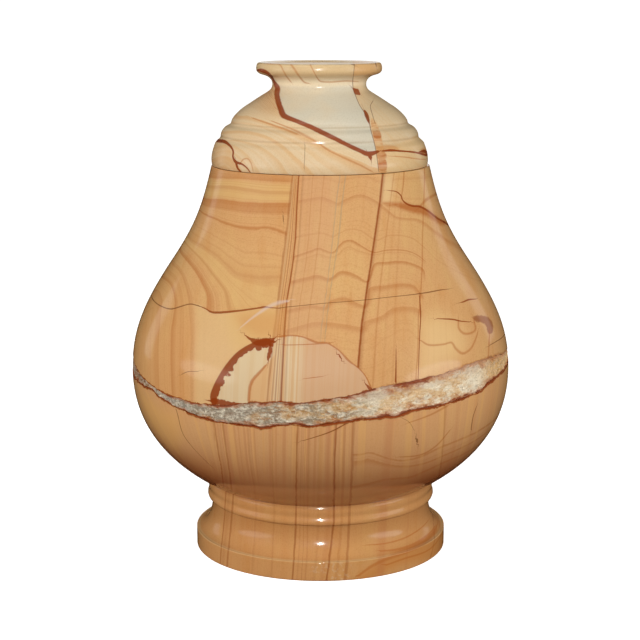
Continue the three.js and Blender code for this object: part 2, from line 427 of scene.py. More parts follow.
def strokes(paths, x, z):
    """Field of thin lines: distance over half width, and a mask near the lines.

    A path is a list of (pixel x, pixel y, width in pixels)."""
    ratio = np.full(x.shape, FAR)
    near = np.zeros(x.shape)
    for path in paths:
        path = np.asarray(path, float)
        line = place(path[:, :2])
        fine = smooth_line(np.column_stack([line, path[:, 2] * HALF_PX]), 4)
        box = ((x > fine[:, 0].min() - REACH) & (x < fine[:, 0].max() + REACH)
               & (z > fine[:, 1].min() - REACH) & (z < fine[:, 1].max() + REACH))
        distance, share = side_distance(fine[:, :2], x[box], z[box])
        along = lengths(fine[:, :2])
        half = np.interp(share, along / along[-1], np.maximum(fine[:, 2], THINNEST))
        value = distance / half
        closer = np.abs(value) < np.abs(ratio[box])
        ratio[box] = np.where(closer, value, ratio[box])
        mask = np.clip(MASK_END - np.abs(distance) / MASK_UNIT, 0, 1)
        near[box] = np.maximum(near[box], mask)
    return np.clip(ratio, -FAR, FAR), near


def area_field(outline, x, z):
    """Signed distance to a closed outline, positive inside."""
    line = smooth_line(np.vstack([place(outline), place(outline[:1])]), 3)
    distance, _ = side_distance(line, x, z)
    inside = np.zeros(x.shape, bool)
    for (ax, az), (bx, bz) in zip(line[:-1], line[1:]):
        crosses = (az > z) != (bz > z)
        with np.errstate(divide="ignore", invalid="ignore"):
            cut = ax + (z - az) / (bz - az) * (bx - ax)
        inside ^= crosses & (x < cut)
    return np.abs(distance) * np.where(inside, 1, -1)


# The crystal seam's edges, read from left to right along the belly

SEAM_TOP_PX = [(133, 355), (137, 369), (144, 380), (153, 386), (164, 394), (178, 398), (192, 403),
               (207, 404), (222, 405), (238, 404), (254, 403), (271, 402), (287, 403), (305, 403),
               (330, 399), (350, 396), (369, 390), (390, 385), (414, 380), (430, 377), (451, 371),
               (471, 363), (489, 357), (504, 353)]
SEAM_FOOT_PX = [(134, 377), (141, 384), (151, 389), (160, 397), (171, 405), (187, 412), (200, 417),
                (216, 422), (234, 424), (247, 426), (265, 428), (278, 426), (294, 425), (307, 427),
                (330, 424), (343, 422), (364, 420), (385, 417), (396, 417), (412, 410), (430, 408),
                (451, 403), (468, 397), (480, 392), (489, 384), (503, 371)]


def waves(terms, angle):
    return sum(size * np.cos(turns * angle - lag) for turns, size, lag in terms)


def seam_edge(angle, pixels, side):
    """Height of one edge of the seam at angles round the axis, from -pi to pi."""
    half = np.maximum(SEAM_NARROWEST, SEAM_HALF_WIDTH + waves(SEAM_SWELL, angle))
    plain = SEAM_LEVEL + waves(SEAM_WANDER, angle) + side * half
    read = place(pixels)
    read_angle = np.arcsin(np.clip(read[:, 0] / outer_radius(read[:, 1]), -1, 1))
    order = np.argsort(read_angle)
    read_angle, read_height = read_angle[order], read[order, 1]
    read_half = np.maximum(SEAM_NARROWEST, SEAM_HALF_WIDTH + waves(SEAM_SWELL, read_angle))
    read_plain = SEAM_LEVEL + waves(SEAM_WANDER, read_angle) + side * read_half
    offset = np.interp(angle, read_angle, read_height - read_plain)
    fade = np.clip((SEAM_READ_END - np.abs(angle)) / SEAM_READ_FADE, 0, 1)
    return plain + offset * fade * fade * (3 - 2 * fade)


def ragged(angle, seed):
    """Small wandering of a broken edge, in millimetres."""
    coarse, coarse_scale = 0.5, 14
    fine, fine_scale = 0.35, 47
    out = np.empty(angle.shape)
    for i, a in enumerate(angle.ravel()):
        p = Vector((math.cos(a), math.sin(a), seed))
        out.ravel()[i] = coarse * noise.noise(p * coarse_scale) + fine * noise.noise(p * fine_scale)
    return out


# Meshes

def column_angles(front, back):
    """Angles round the axis, closer together on the front than on the back."""
    first = np.linspace(-FRONT_HALF, FRONT_HALF, front, endpoint=False)
    second = np.linspace(FRONT_HALF, 2 * math.pi - FRONT_HALF, back, endpoint=False)
    return np.concatenate([first, second])


def resampled(line, spacing):
    """Points of an outline at an even spacing along it."""
    along = lengths(line)
    count = max(2, int(round(along[-1] / spacing)) + 1)
    at = np.linspace(0, along[-1], count)
    return np.stack([np.interp(at, along, line[:, 0]), np.interp(at, along, line[:, 1])], 1)


def turned_mesh(name, radius, height, angle, aside=0.0):
    """Mesh of rows by columns, closed round the axis, with a single point at each end.

    Its rows may sit aside from the axis, by millimetres along x."""
    rows, columns = radius.shape
    x = radius * np.sin(angle) + aside
    y = -radius * np.cos(angle)
    ring = np.stack([x, y, height], 2).reshape(-1, 3)
    first = [0, 0, height[0, 0]]
    last = [0, 0, height[-1, 0]]
    here = np.arange(rows * columns).reshape(rows, columns)
    right = np.roll(here, -1, axis=1)
    quads = np.stack([here[:-1], right[:-1], right[1:], here[1:]], 2).reshape(-1, 4)
    low, high = rows * columns, rows * columns + 1
    faces = quads.tolist()
    faces += [(low, int(b), int(a)) for a, b in zip(here[0], right[0])]
    faces += [(high, int(a), int(b)) for a, b in zip(here[-1], right[-1])]
    return new_piece(name, np.vstack([ring, first, last]), faces, 38)


def new_piece(name, verts, faces, sharp):
    """Piece with a smooth mesh: points in millimetres, edges sharp over an angle in degrees."""
    mesh = bpy.data.meshes.new(name)
    mesh.from_pydata((verts * MM).tolist(), [], faces)
    mesh.validate()
    mesh.shade_smooth()
    mesh.set_sharp_from_angle(angle=math.radians(sharp))
    piece = bpy.data.objects.new(name, mesh)
    bpy.context.scene.collection.objects.link(piece)
    return piece


def give(piece, name, values, ends=2):
    """Store one number per vertex; the end points take the first and the last value."""
    flat = values.ravel()
    full = np.concatenate([flat, [flat[0], flat[-1]][:ends]])
    layer = piece.data.attributes.new(name, "FLOAT", "POINT")
    layer.data.foreach_set("value", full.astype(np.float32))


# Veins above the seam, from left to right, each read from the seat down

UPPER_VEINS = [
    [(213, 176), (208, 250), (205, 300), (203, 350), (203, 400)],
    [(293.6, 175), (288, 228), (282.6, 270), (277, 316), (272, 357), (267.6, 400)],
    [(298.6, 174), (296.8, 203), (295.3, 238), (293.2, 260), (290, 281), (286.8, 300),
     (284.7, 323), (283.6, 340), (281, 400)],
    [(340, 176), (337, 197), (333, 237), (327, 290), (323, 317), (320.5, 344), (318, 400)],
    [(345.5, 176), (342, 203), (338, 244), (331, 284), (326.5, 317), (323.5, 351), (321, 400)],
    [(383, 173), (380, 203), (376, 230), (371, 264), (366, 297), (362, 324), (359, 357), (357, 390)],
    [(394, 173), (390, 203), (385, 244), (380, 284), (376, 330), (372, 390)],
    [(404, 173), (402, 190), (399, 230), (396, 290), (392, 390)],
    [(426, 176), (424, 244), (424, 264), (422, 297), (420, 317), (419, 357), (417, 385)],
    [(452, 240), (450, 300), (452, 340), (454, 372)],
]

# Veins below the seam and down the foot

LOWER_VEINS = [
    [(150, 390), (168, 430), (196, 470), (204, 500), (203, 560)],
    [(214, 420), (217, 440), (222, 470), (226, 494), (220, 564)],
    [(222, 420), (226, 450), (230, 475), (233, 496), (227, 565)],
    [(247, 424), (250, 460), (254, 485), (256, 510), (252, 572)],
    [(272, 426), (272, 460), (273, 490), (274, 515), (271, 576)],
    [(298, 426), (297, 460), (296, 522), (295, 546), (292.5, 579)],
    [(309, 425), (308, 460), (307, 500), (307, 546), (305, 580)],
    [(336, 424), (334.5, 460), (334, 522), (331, 546), (326, 580)],
    [(353, 421), (352, 460), (350.5, 497), (348, 546), (345, 578)],
    [(391, 418), (389, 440), (386, 480), (384, 520), (381, 575)],
    [(419, 412), (418, 445), (413, 480), (408, 520), (405, 572)],
    [(445, 405), (443.5, 440), (440, 470), (434, 520), (430, 560)],
    [(478, 394), (470, 440), (455, 470), (440, 530), (437, 560)],
]

# Nested growth lines on the left of the body, from the top down

LEFT_STRATA = [
    [(200, 176), (240, 177), (292, 180)],
    [(206, 184), (230, 186), (262, 191), (293, 192)],
    [(202, 197), (222, 200), (245, 203), (292, 203.5)],
    [(198, 203), (222, 209), (250, 213), (292, 214)],
    [(196, 207), (214, 218), (235, 226), (254, 228), (270, 228), (288, 235)],
    [(187, 237), (205, 250), (222, 264), (236, 277), (255, 281), (284, 281)],
    [(184, 240), (187, 244.3), (200.4, 258.4), (213.7, 275.8), (224.5, 290.5), (228, 306)],
    [(178, 245), (180.3, 249), (195, 269), (205.7, 287.9), (208.7, 298.6), (208, 312)],
    [(168, 258), (171.6, 263.7), (180.3, 273), (187, 294.5), (189, 314.6), (190.5, 340), (191, 400)],
    [(158, 276), (164, 279), (168.5, 282), (172.2, 288), (174.9, 301), (173.6, 317), (171, 337),
     (172, 392)],
    [(152, 292), (158, 291), (161.5, 299.9), (160.2, 310.6), (158, 340), (158, 385)],
]

# Arched growth lines of the middle and right columns, from the top down

ARCHES = [
    [(296, 182), (320, 178), (341, 183), (346, 180), (365, 177), (380, 182), (400, 179), (430, 176),
     (452, 172)],
    [(296, 201), (314, 198), (321, 197), (329, 199), (338, 203), (344, 200), (360, 195), (378, 202),
     (396, 217), (417, 220), (430, 228), (440, 236), (457, 246), (470, 255)],
    [(296, 237), (321, 233), (333, 237), (338, 234), (350, 229), (362, 231), (376, 240), (390, 235),
     (410, 237), (424, 247), (440, 262), (480, 280)],
    [(294, 256), (310, 251), (319, 248), (330, 252), (335, 251), (338, 246), (345, 240), (353, 240),
     (364, 247), (374, 252), (385, 250), (401, 250), (414, 253), (426, 262), (450, 285),
     (490, 300)],
    [(291, 281), (310, 277), (319, 276), (328, 279), (333, 277), (339, 272), (347, 272), (357, 276),
     (368, 282), (374, 264), (385, 262), (401, 261), (414, 264), (424, 270), (428, 284),
     (450, 300), (490, 310)],
    [(289, 310), (310, 306), (325, 308), (329, 302), (345, 298), (366, 306), (369, 288), (385, 286),
     (401, 284), (414, 286), (421, 294), (440, 310), (490, 322)],
    [(287, 330), (320, 322), (362, 328), (364, 322), (380, 317), (393, 309), (409, 307), (420, 310),
     (440, 325), (490, 340)],
]

# Growth lines under the seam

LOW_STRATA = [
    [(150, 400), (250, 436), (340, 432), (420, 425), (490, 400)],
    [(180, 436), (300, 452), (355, 455), (370, 453), (385, 458), (401, 461), (420, 457), (443, 446),
     (480, 430)],
    [(190, 452), (300, 462), (355, 461), (369, 458.5), (385, 463), (404, 465.5), (424, 463),
     (444, 455), (475, 440)],
    [(205, 474), (300, 490), (358, 486), (385, 479), (409, 477), (424, 471), (441, 463), (460, 455)],
]

# Open cracks, brown, with their widths

BROWN_STROKES = [
    [(199, 306, 0.4), (206, 309, 1), (211, 312, 1.6), (219, 312.6, 1.9), (240, 310.6, 1.6),
     (256, 308.4, 1.4), (265, 307, 1.7), (271, 307.6, 1), (279, 308, 0.4)],
    [(389, 190.6, 0.6), (396, 191.5, 1), (401, 195.6, 1.2), (402.5, 200, 1.2), (407, 204, 1.6),
     (413, 206, 1.8), (420, 206.6, 1.8), (428, 211, 1.6), (437, 218, 1.6), (444, 222, 1.4),
     (449, 225, 1)],
    [(459, 303, 0.3), (464, 301.6, 1.2), (469, 299.6, 1.3), (477, 299, 0.3)],
    [(437, 318.6, 0.6), (452, 319.3, 1.2), (460, 321, 1), (470, 322, 0.6)],
    [(419.5, 296, 0.8), (420.6, 316, 1.1), (419.4, 340, 0.9), (418, 379, 0.6)],
    [(396, 348, 0.4), (396, 362, 1), (395.6, 382, 1.6)],
    [(366, 384, 1), (369.6, 388.6, 3), (372, 391, 3)],
    [(339.5, 356, 1.4), (340.6, 357.6, 1.4)],
]

# Soft brown lines, and a painted reflection: a pale streak beside a crack, with their widths

SOFT_STROKES = [
    [(458.4, 320.4, 1.4), (458.7, 328, 1.8), (463, 333, 1.8), (469, 333.6, 1.8), (475.5, 329.6, 2),
     (474, 321, 1.6)],
    [(421, 340.6, 1), (429, 345, 1.6), (443, 344.4, 1.6), (451.5, 342.5, 1.6), (455.6, 348.4, 2),
     (462.5, 353.5, 2), (470.8, 348.6, 2), (476, 338, 1.6), (478, 331, 1)],
    [(420, 206.4, 2), (426.5, 199.5, 3), (434.6, 194.8, 2.4), (441, 193, 1.6)],
    [(404, 170, 1), (403.4, 184, 1), (401.6, 196, 0.8)],
    [(489.6, 328, 1), (489, 343, 1.6), (488.4, 356, 1.2)],
    [(408, 423, 0.8), (430, 415, 1.6), (447, 406, 2)],
    [(302, 441, 0.5), (330, 432, 1.4), (347, 423, 1.8)],
    [(400, 457, 1), (420, 455, 1.6), (436, 446, 1.6), (450, 430, 1)],
    [(436, 528, 2), (424, 541, 3), (406, 552, 3.6), (389, 558, 3.6), (372, 566, 3), (358, 576, 2)],
    [(443, 530, 1), (430, 549, 1.6), (406, 558, 1.8), (386, 565, 1.4)],
    [(380, 551, 1), (396, 549.6, 1.6), (412, 545, 1.8), (425, 537, 1.6), (434, 528, 1)],
    [(366, 545, 0.8), (384, 543.6, 1.3), (402, 539, 1.5), (417, 531, 1.3), (427, 522, 0.8)],
]

REFLECTION_STREAK = [
    [(240, 328, 0.6), (252, 318, 1.6), (262, 311, 2.2), (270, 306, 2.6), (279, 302.6, 2.8),
     (288, 300.8, 1.4)],
]

# Outlines of patches in another colour: brown, golden, pale or orange; one of them is a painted highlight

WEDGE = [(384, 203), (391, 203.4), (398, 203.6), (404, 203.4), (408, 204.6), (414, 206), (420, 206.6),
         (428, 211), (437, 218), (445, 223), (440, 223.6), (432, 219), (424, 214.6), (412, 211.6),
         (403, 209), (396, 206), (388, 205)]

BLOT = [(472, 317.6), (476, 315.6), (482, 315.8), (489, 318), (493, 325), (492, 333), (488, 333),
        (486, 325.6), (481, 322), (476, 321.4)]

LOW_LEFT = [(140, 392), (150, 401), (162, 410), (175, 416), (180, 430), (176, 446), (164, 438),
            (152, 424), (143, 408)]

SCUFF = [(306, 569), (318, 563.4), (334, 562.4), (351, 563.4), (351, 573), (347, 580), (331, 580.6),
         (329, 573), (318, 574)]

FOOT_FLAME = [(352, 582), (366, 570), (384, 559), (404, 549), (424, 539), (437, 529), (446, 522),
              (446, 545), (436, 555), (420, 561), (398, 566), (378, 576), (368, 584)]

RIGHT_PALE = [(384.4, 177), (392, 177), (390, 200), (382.6, 200)]

# Painted highlight: a pale gold glow on the right of the belly
HIGHLIGHT_PATCH = [(419, 322), (440, 314), (462, 328), (464, 352), (440, 366), (420, 374)]

ORANGE_CLOUD = [(236, 316), (248, 311), (270, 310), (283, 312), (282, 333), (266, 338), (254, 337),
                (243, 330)]

# The crack that runs across the front, and the closed cracks, thin and dark, with their widths

LONG_CRACK = [(120, 285), (152, 298.6), (170.2, 309.3), (196.3, 303.9), (212.4, 312.2), (240.5, 310.6),
              (268.7, 306.9), (310, 305.3), (363.6, 300.6), (417.1, 294.5), (449.3, 289.2), (520, 280)]

DARK_STROKES = [
    [(152, 298, 1), (159, 305, 1), (170, 309, 1), (179, 307, 0.9), (190, 304, 0.9), (199, 306, 0.9)],
    [(279, 308, 0.6), (287, 307, 0.6), (307, 305, 0.6), (327, 303, 0.5), (364, 300, 0.6),
     (390, 297, 0.6), (417, 294, 0.8), (430, 292, 1), (440, 290, 0.9), (449, 289, 0.4)],
    [(490, 345, 0.6), (497, 341, 0.8), (504, 335, 0.6)],
    [(176, 409, 0.7), (178, 416, 0.7), (183, 434, 0.6), (195, 450, 0.5), (212, 467, 0.3)],
    [(302, 441, 0.5), (330, 432, 0.8), (347, 423, 1)],
    [(400, 417, 0.3), (409, 422, 0.35), (414, 430, 0.3)],
    [(477, 405, 0.6), (473, 417, 0.8), (471, 430, 0.8)],
    [(416.8, 439.8, 2), (417, 441.4, 1.8)],
    [(181.6, 374.4, 0.4), (187.9, 371.7, 0.6), (198.6, 371.3, 0.4)],
    [(283, 215.6, 0.7), (283.3, 218.4, 0.9), (283.2, 222, 0.6)],
]

# Cream inclusion over the middle of the seam, the brown arc and spots that bound it, and the
# brown curves on it

INCLUSION = [(218, 402), (218, 398), (221, 386), (228, 368), (238, 356), (250, 347), (262, 342),
             (272, 339), (281, 337), (291, 335), (303, 337), (311, 340), (319, 343), (327, 343),
             (339, 350), (349, 361), (357, 367), (364, 374), (369, 386), (372, 392), (330, 408),
             (260, 412), (225, 410)]

BROWN_ARC = [
    [(213.6, 405, 3), (214.4, 398, 8.6), (217.4, 388.4, 8.4), (222, 379, 8), (227.4, 370.6, 8.2),
     (233.4, 362.6, 8), (239.4, 356, 7.6), (246.4, 350.6, 7), (253, 347.4, 7.4), (259, 345.6, 9.4),
     (266, 343.6, 9.4), (271, 343, 7), (274.5, 341.4, 2)],
]

BROWN_SPOTS = [
    [(213, 401, 5), (216, 401.4, 6), (224, 402.6, 4.6), (234, 403.8, 3), (244, 404, 1)],
    [(246, 336, 1), (250, 339, 2.4), (256, 342, 6), (264, 342.4, 6.4), (272, 340, 4), (275, 338, 1)],
    [(270, 340, 2), (270.4, 350, 3.4), (268.6, 356, 3.4), (267.6, 361, 1)],
]

INNER_CURVES = [
    [(266, 365, 1.6), (258, 374, 2.6), (252, 381, 2.8), (249.4, 390, 2.8), (248.6, 402, 2.4)],
    [(284, 345, 0.8), (303, 344.6, 0.8), (330, 343, 1.2)],
    [(281, 336.6, 1.8), (291, 335.4, 1.4), (303, 337, 1.2), (311, 340.4, 1.8), (318, 342.8, 1.8),
     (327, 343, 1.4), (338, 349.6, 1.2), (343, 354.6, 1.6), (349, 361, 1.8), (357, 367, 1),
     (364, 374, 1), (368.6, 382, 1.2), (371, 388, 1.6)],
    [(303, 379, 0.3), (313, 377.6, 0.8), (325, 376, 0.3)],
]

# Veins and cracks of the lid, with their widths

LID_BROWN = [
    [(258, 70, 2), (262, 70.4, 4), (267, 72.6, 3.6), (271, 76, 3), (273.4, 80, 2.6), (275.6, 84, 4.2),
     (277.6, 88.6, 5.6), (276.8, 94, 5.2), (278.4, 102, 5.3), (280.8, 109, 5.4), (282.8, 114.2, 5.6),
     (286.6, 117.2, 4.6), (296, 120.8, 3.8), (310, 126.6, 4.2), (322, 132.4, 4.2), (335, 138.6, 4),
     (348, 145.2, 3.6), (360, 150.8, 3.7), (366.4, 153.6, 4.4), (371, 153.8, 4.6), (378, 151.6, 2.4)],
    [(369, 155, 3), (370.4, 157.4, 3.6), (370.8, 159.4, 1.6)],
    [(217.5, 139.6, 1.6), (224, 141, 2.8), (230, 145.6, 2.2), (233.2, 151, 1.8), (233, 157, 1.8),
     (236, 162, 3), (242, 164, 1.8), (247, 168, 1.4), (250, 172, 1)],
    [(236, 162, 2.4), (237.6, 168, 2), (241, 172, 1.6)],
    [(354, 89.4, 2.6), (356.6, 91.8, 5.4), (359.4, 94, 2.2)],
    [(364.6, 111, 2), (366.4, 115, 3.8), (368.4, 120.6, 2.6), (369, 123, 1)],
    [(383, 151, 1.4), (391, 150.4, 2.2), (399, 151, 1.6), (415, 152.4, 1.6), (427, 155.4, 2.2)],
    [(420, 152, 1.4), (424, 151.4, 3), (427, 153, 2)],
]

LID_THIN = [
    [(354.7, 62, 0.8), (353.6, 74, 0.7), (352.7, 83, 0.8), (354, 91, 0.8), (359, 104, 0.7),
     (364, 112, 0.7), (369, 121, 0.8), (371, 131, 0.8), (374, 142, 0.8), (375.4, 148, 0.8),
     (377, 158, 0.7), (378.6, 171, 0.7)],
    [(372.6, 101.6, 0.7), (370.4, 106, 0.6), (371.6, 112, 0.7), (375, 123, 0.5)],
    [(305, 145, 0.5), (304.6, 157, 0.5), (304, 168, 0.5)],
    [(351.6, 63.6, 2), (353.4, 64.6, 1.6)],
    [(375.6, 63.2, 1), (376.4, 66.4, 1.2)],
]

# Strata of the lid, from the top down, and the fan of lines beside its thick vein

LID_STRATA = [
    [(222, 118), (240, 116), (253, 118), (276, 126), (297, 134), (315, 142), (330, 150), (345, 157),
     (362, 163), (384, 172)],
    [(216, 133), (240, 131), (263, 135), (280.6, 144.6), (296.4, 158.7), (310.4, 172.7), (320, 184)],
    [(213, 142), (232, 140), (250, 143), (266, 150), (278, 160), (286, 172), (292, 182)],
    [(212, 148), (228, 144), (240, 149), (250, 158), (257, 170), (262, 182)],
    [(211, 160), (222, 156), (232, 160), (239, 168), (244, 180)],
]

LID_FAN = [
    [(262, 94), (268, 104), (276, 114), (284, 121)],
    [(252, 99), (261, 108), (272, 116), (284, 124)],
    [(240, 106), (252, 112), (268, 119), (286, 128)],
    [(226, 116), (244, 117), (264, 122), (288, 133)],
]

# Soft lines of the rim and the skirt, with their widths

RIM_STREAKS = [
    [(268, 63.5, 1.6), (279, 64, 1.4), (283, 70, 1.4), (287, 77, 1.6), (291, 82, 1)],
    [(290, 63, 1.8), (294, 68, 2), (299, 76, 1.8), (304, 82, 1.6), (309, 83.4, 0.8)],
    [(310, 64, 1.4), (314, 72, 1.2), (318, 79, 1.2), (321.6, 81.6, 1.4), (332, 82, 1.4),
     (346, 81, 1.4), (358, 81.6, 0.8)],
    [(272, 121, 1), (287, 127, 1.4), (302, 134, 2), (315, 141, 1.8), (328, 150, 1.4), (340, 156, 1.6),
     (351, 161, 1.8), (362, 166, 1.6), (371, 171, 1.4)],
    [(253, 118, 1), (276, 126, 1.6), (297, 134, 1.6)],
    [(240, 164, 0.8), (243, 159.6, 1.3), (247.6, 158.6, 1.3), (251, 163, 1.2), (253, 170, 0.8)],
    [(388, 156, 0.5), (405, 157.2, 1.2), (426, 159.6, 0.8)],
]

# Outlines of patches on the lid

LADDER = [
    (372.6, 118), (375, 121), (379.6, 130), (381.4, 138), (383.6, 147), (385.2, 157),
    (386.6, 172), (379.2, 172), (377.8, 160), (375.6, 147), (373.4, 138), (371.6, 128), (370.6, 120),
]

LID_FLUSH = [
    [(377, 147.6), (384, 145.4), (393, 145.6), (398, 148), (399, 150.4), (391, 151), (378, 151.4)],
    [(420, 150), (425, 147.6), (429, 150), (428.6, 156), (423, 154)],
]

LID_LEFT = [(208, 148), (216, 141.6), (225, 142), (231, 148), (232, 157), (235, 163), (243, 172),
            (236, 178), (208, 172)]

BRICKS = [
    [(372.4, 130.8), (379.4, 131), (381, 138), (374, 137.4)],
    [(376.8, 152.6), (385, 152), (386, 158.6), (377.8, 158.8)],
    [(378.4, 160), (385.8, 159.6), (386.6, 170), (379, 170)],
]


# Node helpers

def linear(r, g, b):
    """Linear colour of an sRGB colour given in 0 to 255."""
    shares = [value / 255 for value in (r, g, b)]
    return (*(v / 12.92 if v <= 0.04045 else ((v + 0.055) / 1.055) ** 2.4 for v in shares), 1)


def darkness(at, lines):
    """Greatest darkness that a group of veins has at a stratum number."""
    best = 0.0
    for middle, before, after, strength in lines:
        reach = before if at < middle else after
        best = max(best, strength * min(1, max(0, 1 - abs(at - middle) / reach) / 0.7))
    return best


class Graph:
    """Shader nodes of one material, and the colour that they have made so far."""

    def __init__(self, name, colour=(0, 0, 0, 1), **values):
        self.material = bpy.data.materials.new(name)
        self.material.use_nodes = True
        self.tree = self.material.node_tree
        self.tree.nodes.clear()
        output = self.add("ShaderNodeOutputMaterial")
        self.shader = self.add("ShaderNodeBsdfPrincipled")
        self.tree.links.new(self.shader.outputs[0], output.inputs["Surface"])
        self.here = self.add("ShaderNodeTexCoord").outputs["Object"]
        self.colour = colour
        for key, value in values.items():
            self.shader.inputs[key.replace("_", " ")].default_value = value

    def put(self, target, value):
        if isinstance(value, bpy.types.NodeSocket):
            self.tree.links.new(value, target)
        else:
            target.default_value = value

    def add(self, kind, *inputs, **settings):
        """A node with its settings, and its inputs in order; None leaves one as it is."""
        node = self.tree.nodes.new(kind)
        for key, value in settings.items():
            setattr(node, key, value)
        for target, value in zip(node.inputs, inputs):
            if value is not None:
                self.put(target, value)
        return node

    def math(self, operation, a, b=0.0):
        return self.add("ShaderNodeMath", a, b, operation=operation).outputs[0]

    def times(self, *values):
        total = values[0]
        for value in values[1:]:
            total = self.math("MULTIPLY", total, value)
        return total

    def plus(self, a, b):
        return self.math("ADD", a, b)

    def rest(self, share):
        return self.math("SUBTRACT", 1, share)

    def most(self, a, b):
        return self.math("MAXIMUM", a, b)

    def size(self, a):
        return self.math("ABSOLUTE", a)

    def field(self, name):
        return self.add("ShaderNodeAttribute", attribute_name=name).outputs["Fac"]

    def step(self, value, low, high, a=0.0, b=1.0):
        """Smooth step from a to b as the value goes from low to high."""
        return self.add("ShaderNodeMapRange", value, low, high, a, b,
                        interpolation_type="SMOOTHSTEP").outputs[0]

    def band(self, value, low, full, fading, gone):
        """Share that rises from low to full and falls from fading to gone."""
        return self.times(self.step(value, low, full), self.step(value, gone, fading))

    def area(self, name, low, high, a=0.0, b=1.0):
        return self.step(self.field(name), low, high, a, b)

    def noise(self, scale, detail=3.0, rough=0.55, stretch=(1, 1, 1), shift=0.0):
        at = self.add("ShaderNodeMapping", self.here, (shift, shift * 0.7, shift * 1.3), None,
                      [scale * s for s in stretch]).outputs[0]
        return self.add("ShaderNodeTexNoise", at, None, 1, detail, rough).outputs["Fac"]

    def wobble(self, value, source, amount):
        """A value moved by a noise that is centred on a half."""
        return self.plus(value, self.times(self.plus(source, -0.5), amount))

    def mix(self, a, b, share, blend="MIX"):
        node = self.add("ShaderNodeMix", share, data_type="RGBA", blend_type=blend)
        self.put(node.inputs[6], a)
        self.put(node.inputs[7], b)
        return node.outputs[2]

    def tint(self, colour, *shares):
        """Bring the colour so far towards another, by the product of the shares."""
        self.colour = self.mix(self.colour, colour, self.times(*shares))

    def shade(self, colour, *shares):
        """Multiply the colour so far by another, by the product of the shares."""
        self.colour = self.mix(self.colour, colour, self.times(*shares), "MULTIPLY")

    def ramp(self, value, stops):
        """Grey ramp over a value that runs from 0 to 1."""
        node = self.add("ShaderNodeValToRGB", value)
        elements = node.color_ramp.elements
        elements.remove(elements[1])
        for i, (position, grey) in enumerate(stops):
            element = elements[0] if i == 0 else elements.new(position)
            element.position = position
            element.color = (grey, grey, grey, 1)
        return node.outputs["Color"]

    def vein_lines(self, number, *lines):
        """Darkness of veins over a stratum number, from a few short ramps.

        Each line is (number, fade before, fade after, strength)."""
        longest, most_lines = 1.7, 6
        groups = []
        for line in sorted(lines):
            start, end = line[0] - line[1], line[0] + line[2]
            if groups and end - groups[-1][0] < longest and len(groups[-1][2]) < most_lines:
                groups[-1][0] = min(groups[-1][0], start)
                groups[-1][1] = max(groups[-1][1], end)
                groups[-1][2].append(line)
            else:
                groups.append([start, end, [line]])
        total = None
        for start, end, group in groups:
            at = set()
            for middle, before, after, _ in group:
                at.update((middle - before, middle - 0.3 * before, middle,
                           middle + 0.3 * after, middle + after))
            stops = [((v - start) / (end - start), darkness(v, group)) for v in sorted(at)]
            share = self.add("ShaderNodeMapRange", number, start, end).outputs[0]
            part = self.ramp(share, stops)
            total = part if total is None else self.most(total, part)
        return total

    def growth(self, number, per_unit, low, high):
        """Fine growth lines that follow a family of strata."""
        node = self.add("ShaderNodeTexNoise", noise_dimensions="1D")
        for key, value in (("W", self.times(number, per_unit)), ("Scale", 1), ("Detail", 3),
                           ("Roughness", 0.65)):
            self.put(node.inputs[key], value)
        return self.step(node.outputs["Fac"], low, high)

    def stroke(self, name, roughen, amount, soft=0.25):
        """Mask of a set of thin lines, over all its layers."""
        total = None
        for i in range(LAYERS[name]):
            ratio = self.wobble(self.size(self.field(f"{name}_{i}")), roughen, amount)
            mask = self.times(self.step(ratio, 1 - soft, 1 + soft, 1, 0),
                              self.field(f"{name}_{i}_near"))
            total = mask if total is None else self.most(total, mask)
        return total

    def finished(self, height, distance):
        """The material, with the colour so far and a fine relief of this height."""
        self.put(self.shader.inputs["Base Color"], self.colour)
        bump = self.add("ShaderNodeBump")
        bump.inputs["Distance"].default_value = distance
        self.put(bump.inputs["Height"], height)
        self.put(self.shader.inputs["Normal"], bump.outputs["Normal"])
        return self.material


def polished(graph, coat_roughness):
    """Honed stone under a clear polish, by plain values on the shader."""
    for key, value in (("IOR", 1.5), ("Specular IOR Level", 0), ("Roughness", 0.5), ("Coat Weight", 1),
                       ("Coat Roughness", coat_roughness), ("Coat IOR", 1.5)):
        graph.shader.inputs[key].default_value = value
    return graph.finished(graph.noise(260, 3, 0.5), 0.000012)


# Colours of the stone as they look in even light, and three colours of painted light: a highlight, a
# reflection, and light under the lid's rim

TAN = linear(211, 163, 109)
GOLD = linear(216, 178, 116)
AMBER = linear(203, 143, 80)
PINK = linear(205, 161, 122)
ROSE = linear(188, 122, 80)
RUST = linear(172, 92, 36)
BROWN = linear(139, 57, 17)
UMBER = linear(110, 64, 36)
GREY_VEIN = linear(168, 146, 112)
CREAM = linear(214, 192, 154)
PALE = linear(222, 192, 140)
REFLECTION_LAVENDER = linear(214, 200, 196)
BLOT_BROWN = linear(148, 84, 48)
HIGHLIGHT_GOLD = linear(226, 190, 134)
WARM_GOLD = linear(222, 172, 104)
DEEP_GOLD = linear(220, 170, 100)
LID_CREAM = linear(206, 198, 176)
LID_GOLD = linear(221, 193, 150)
LID_STRAW = linear(216, 182, 128)
LID_AMBER = linear(212, 162, 104)
LID_RUST = linear(188, 118, 58)
LID_PAINTED_LIGHT = linear(250, 232, 196)

# Crystals
WHITE = linear(226, 216, 192)
MILK = linear(247, 234, 205)
GREY_LEFT = linear(152, 137, 114)
GREY_RIGHT = linear(192, 170, 134)
SLATE = linear(150, 143, 131)
HONEY = linear(214, 166, 98)
ORANGE = linear(188, 118, 58)
BLUSH = linear(176, 140, 116)

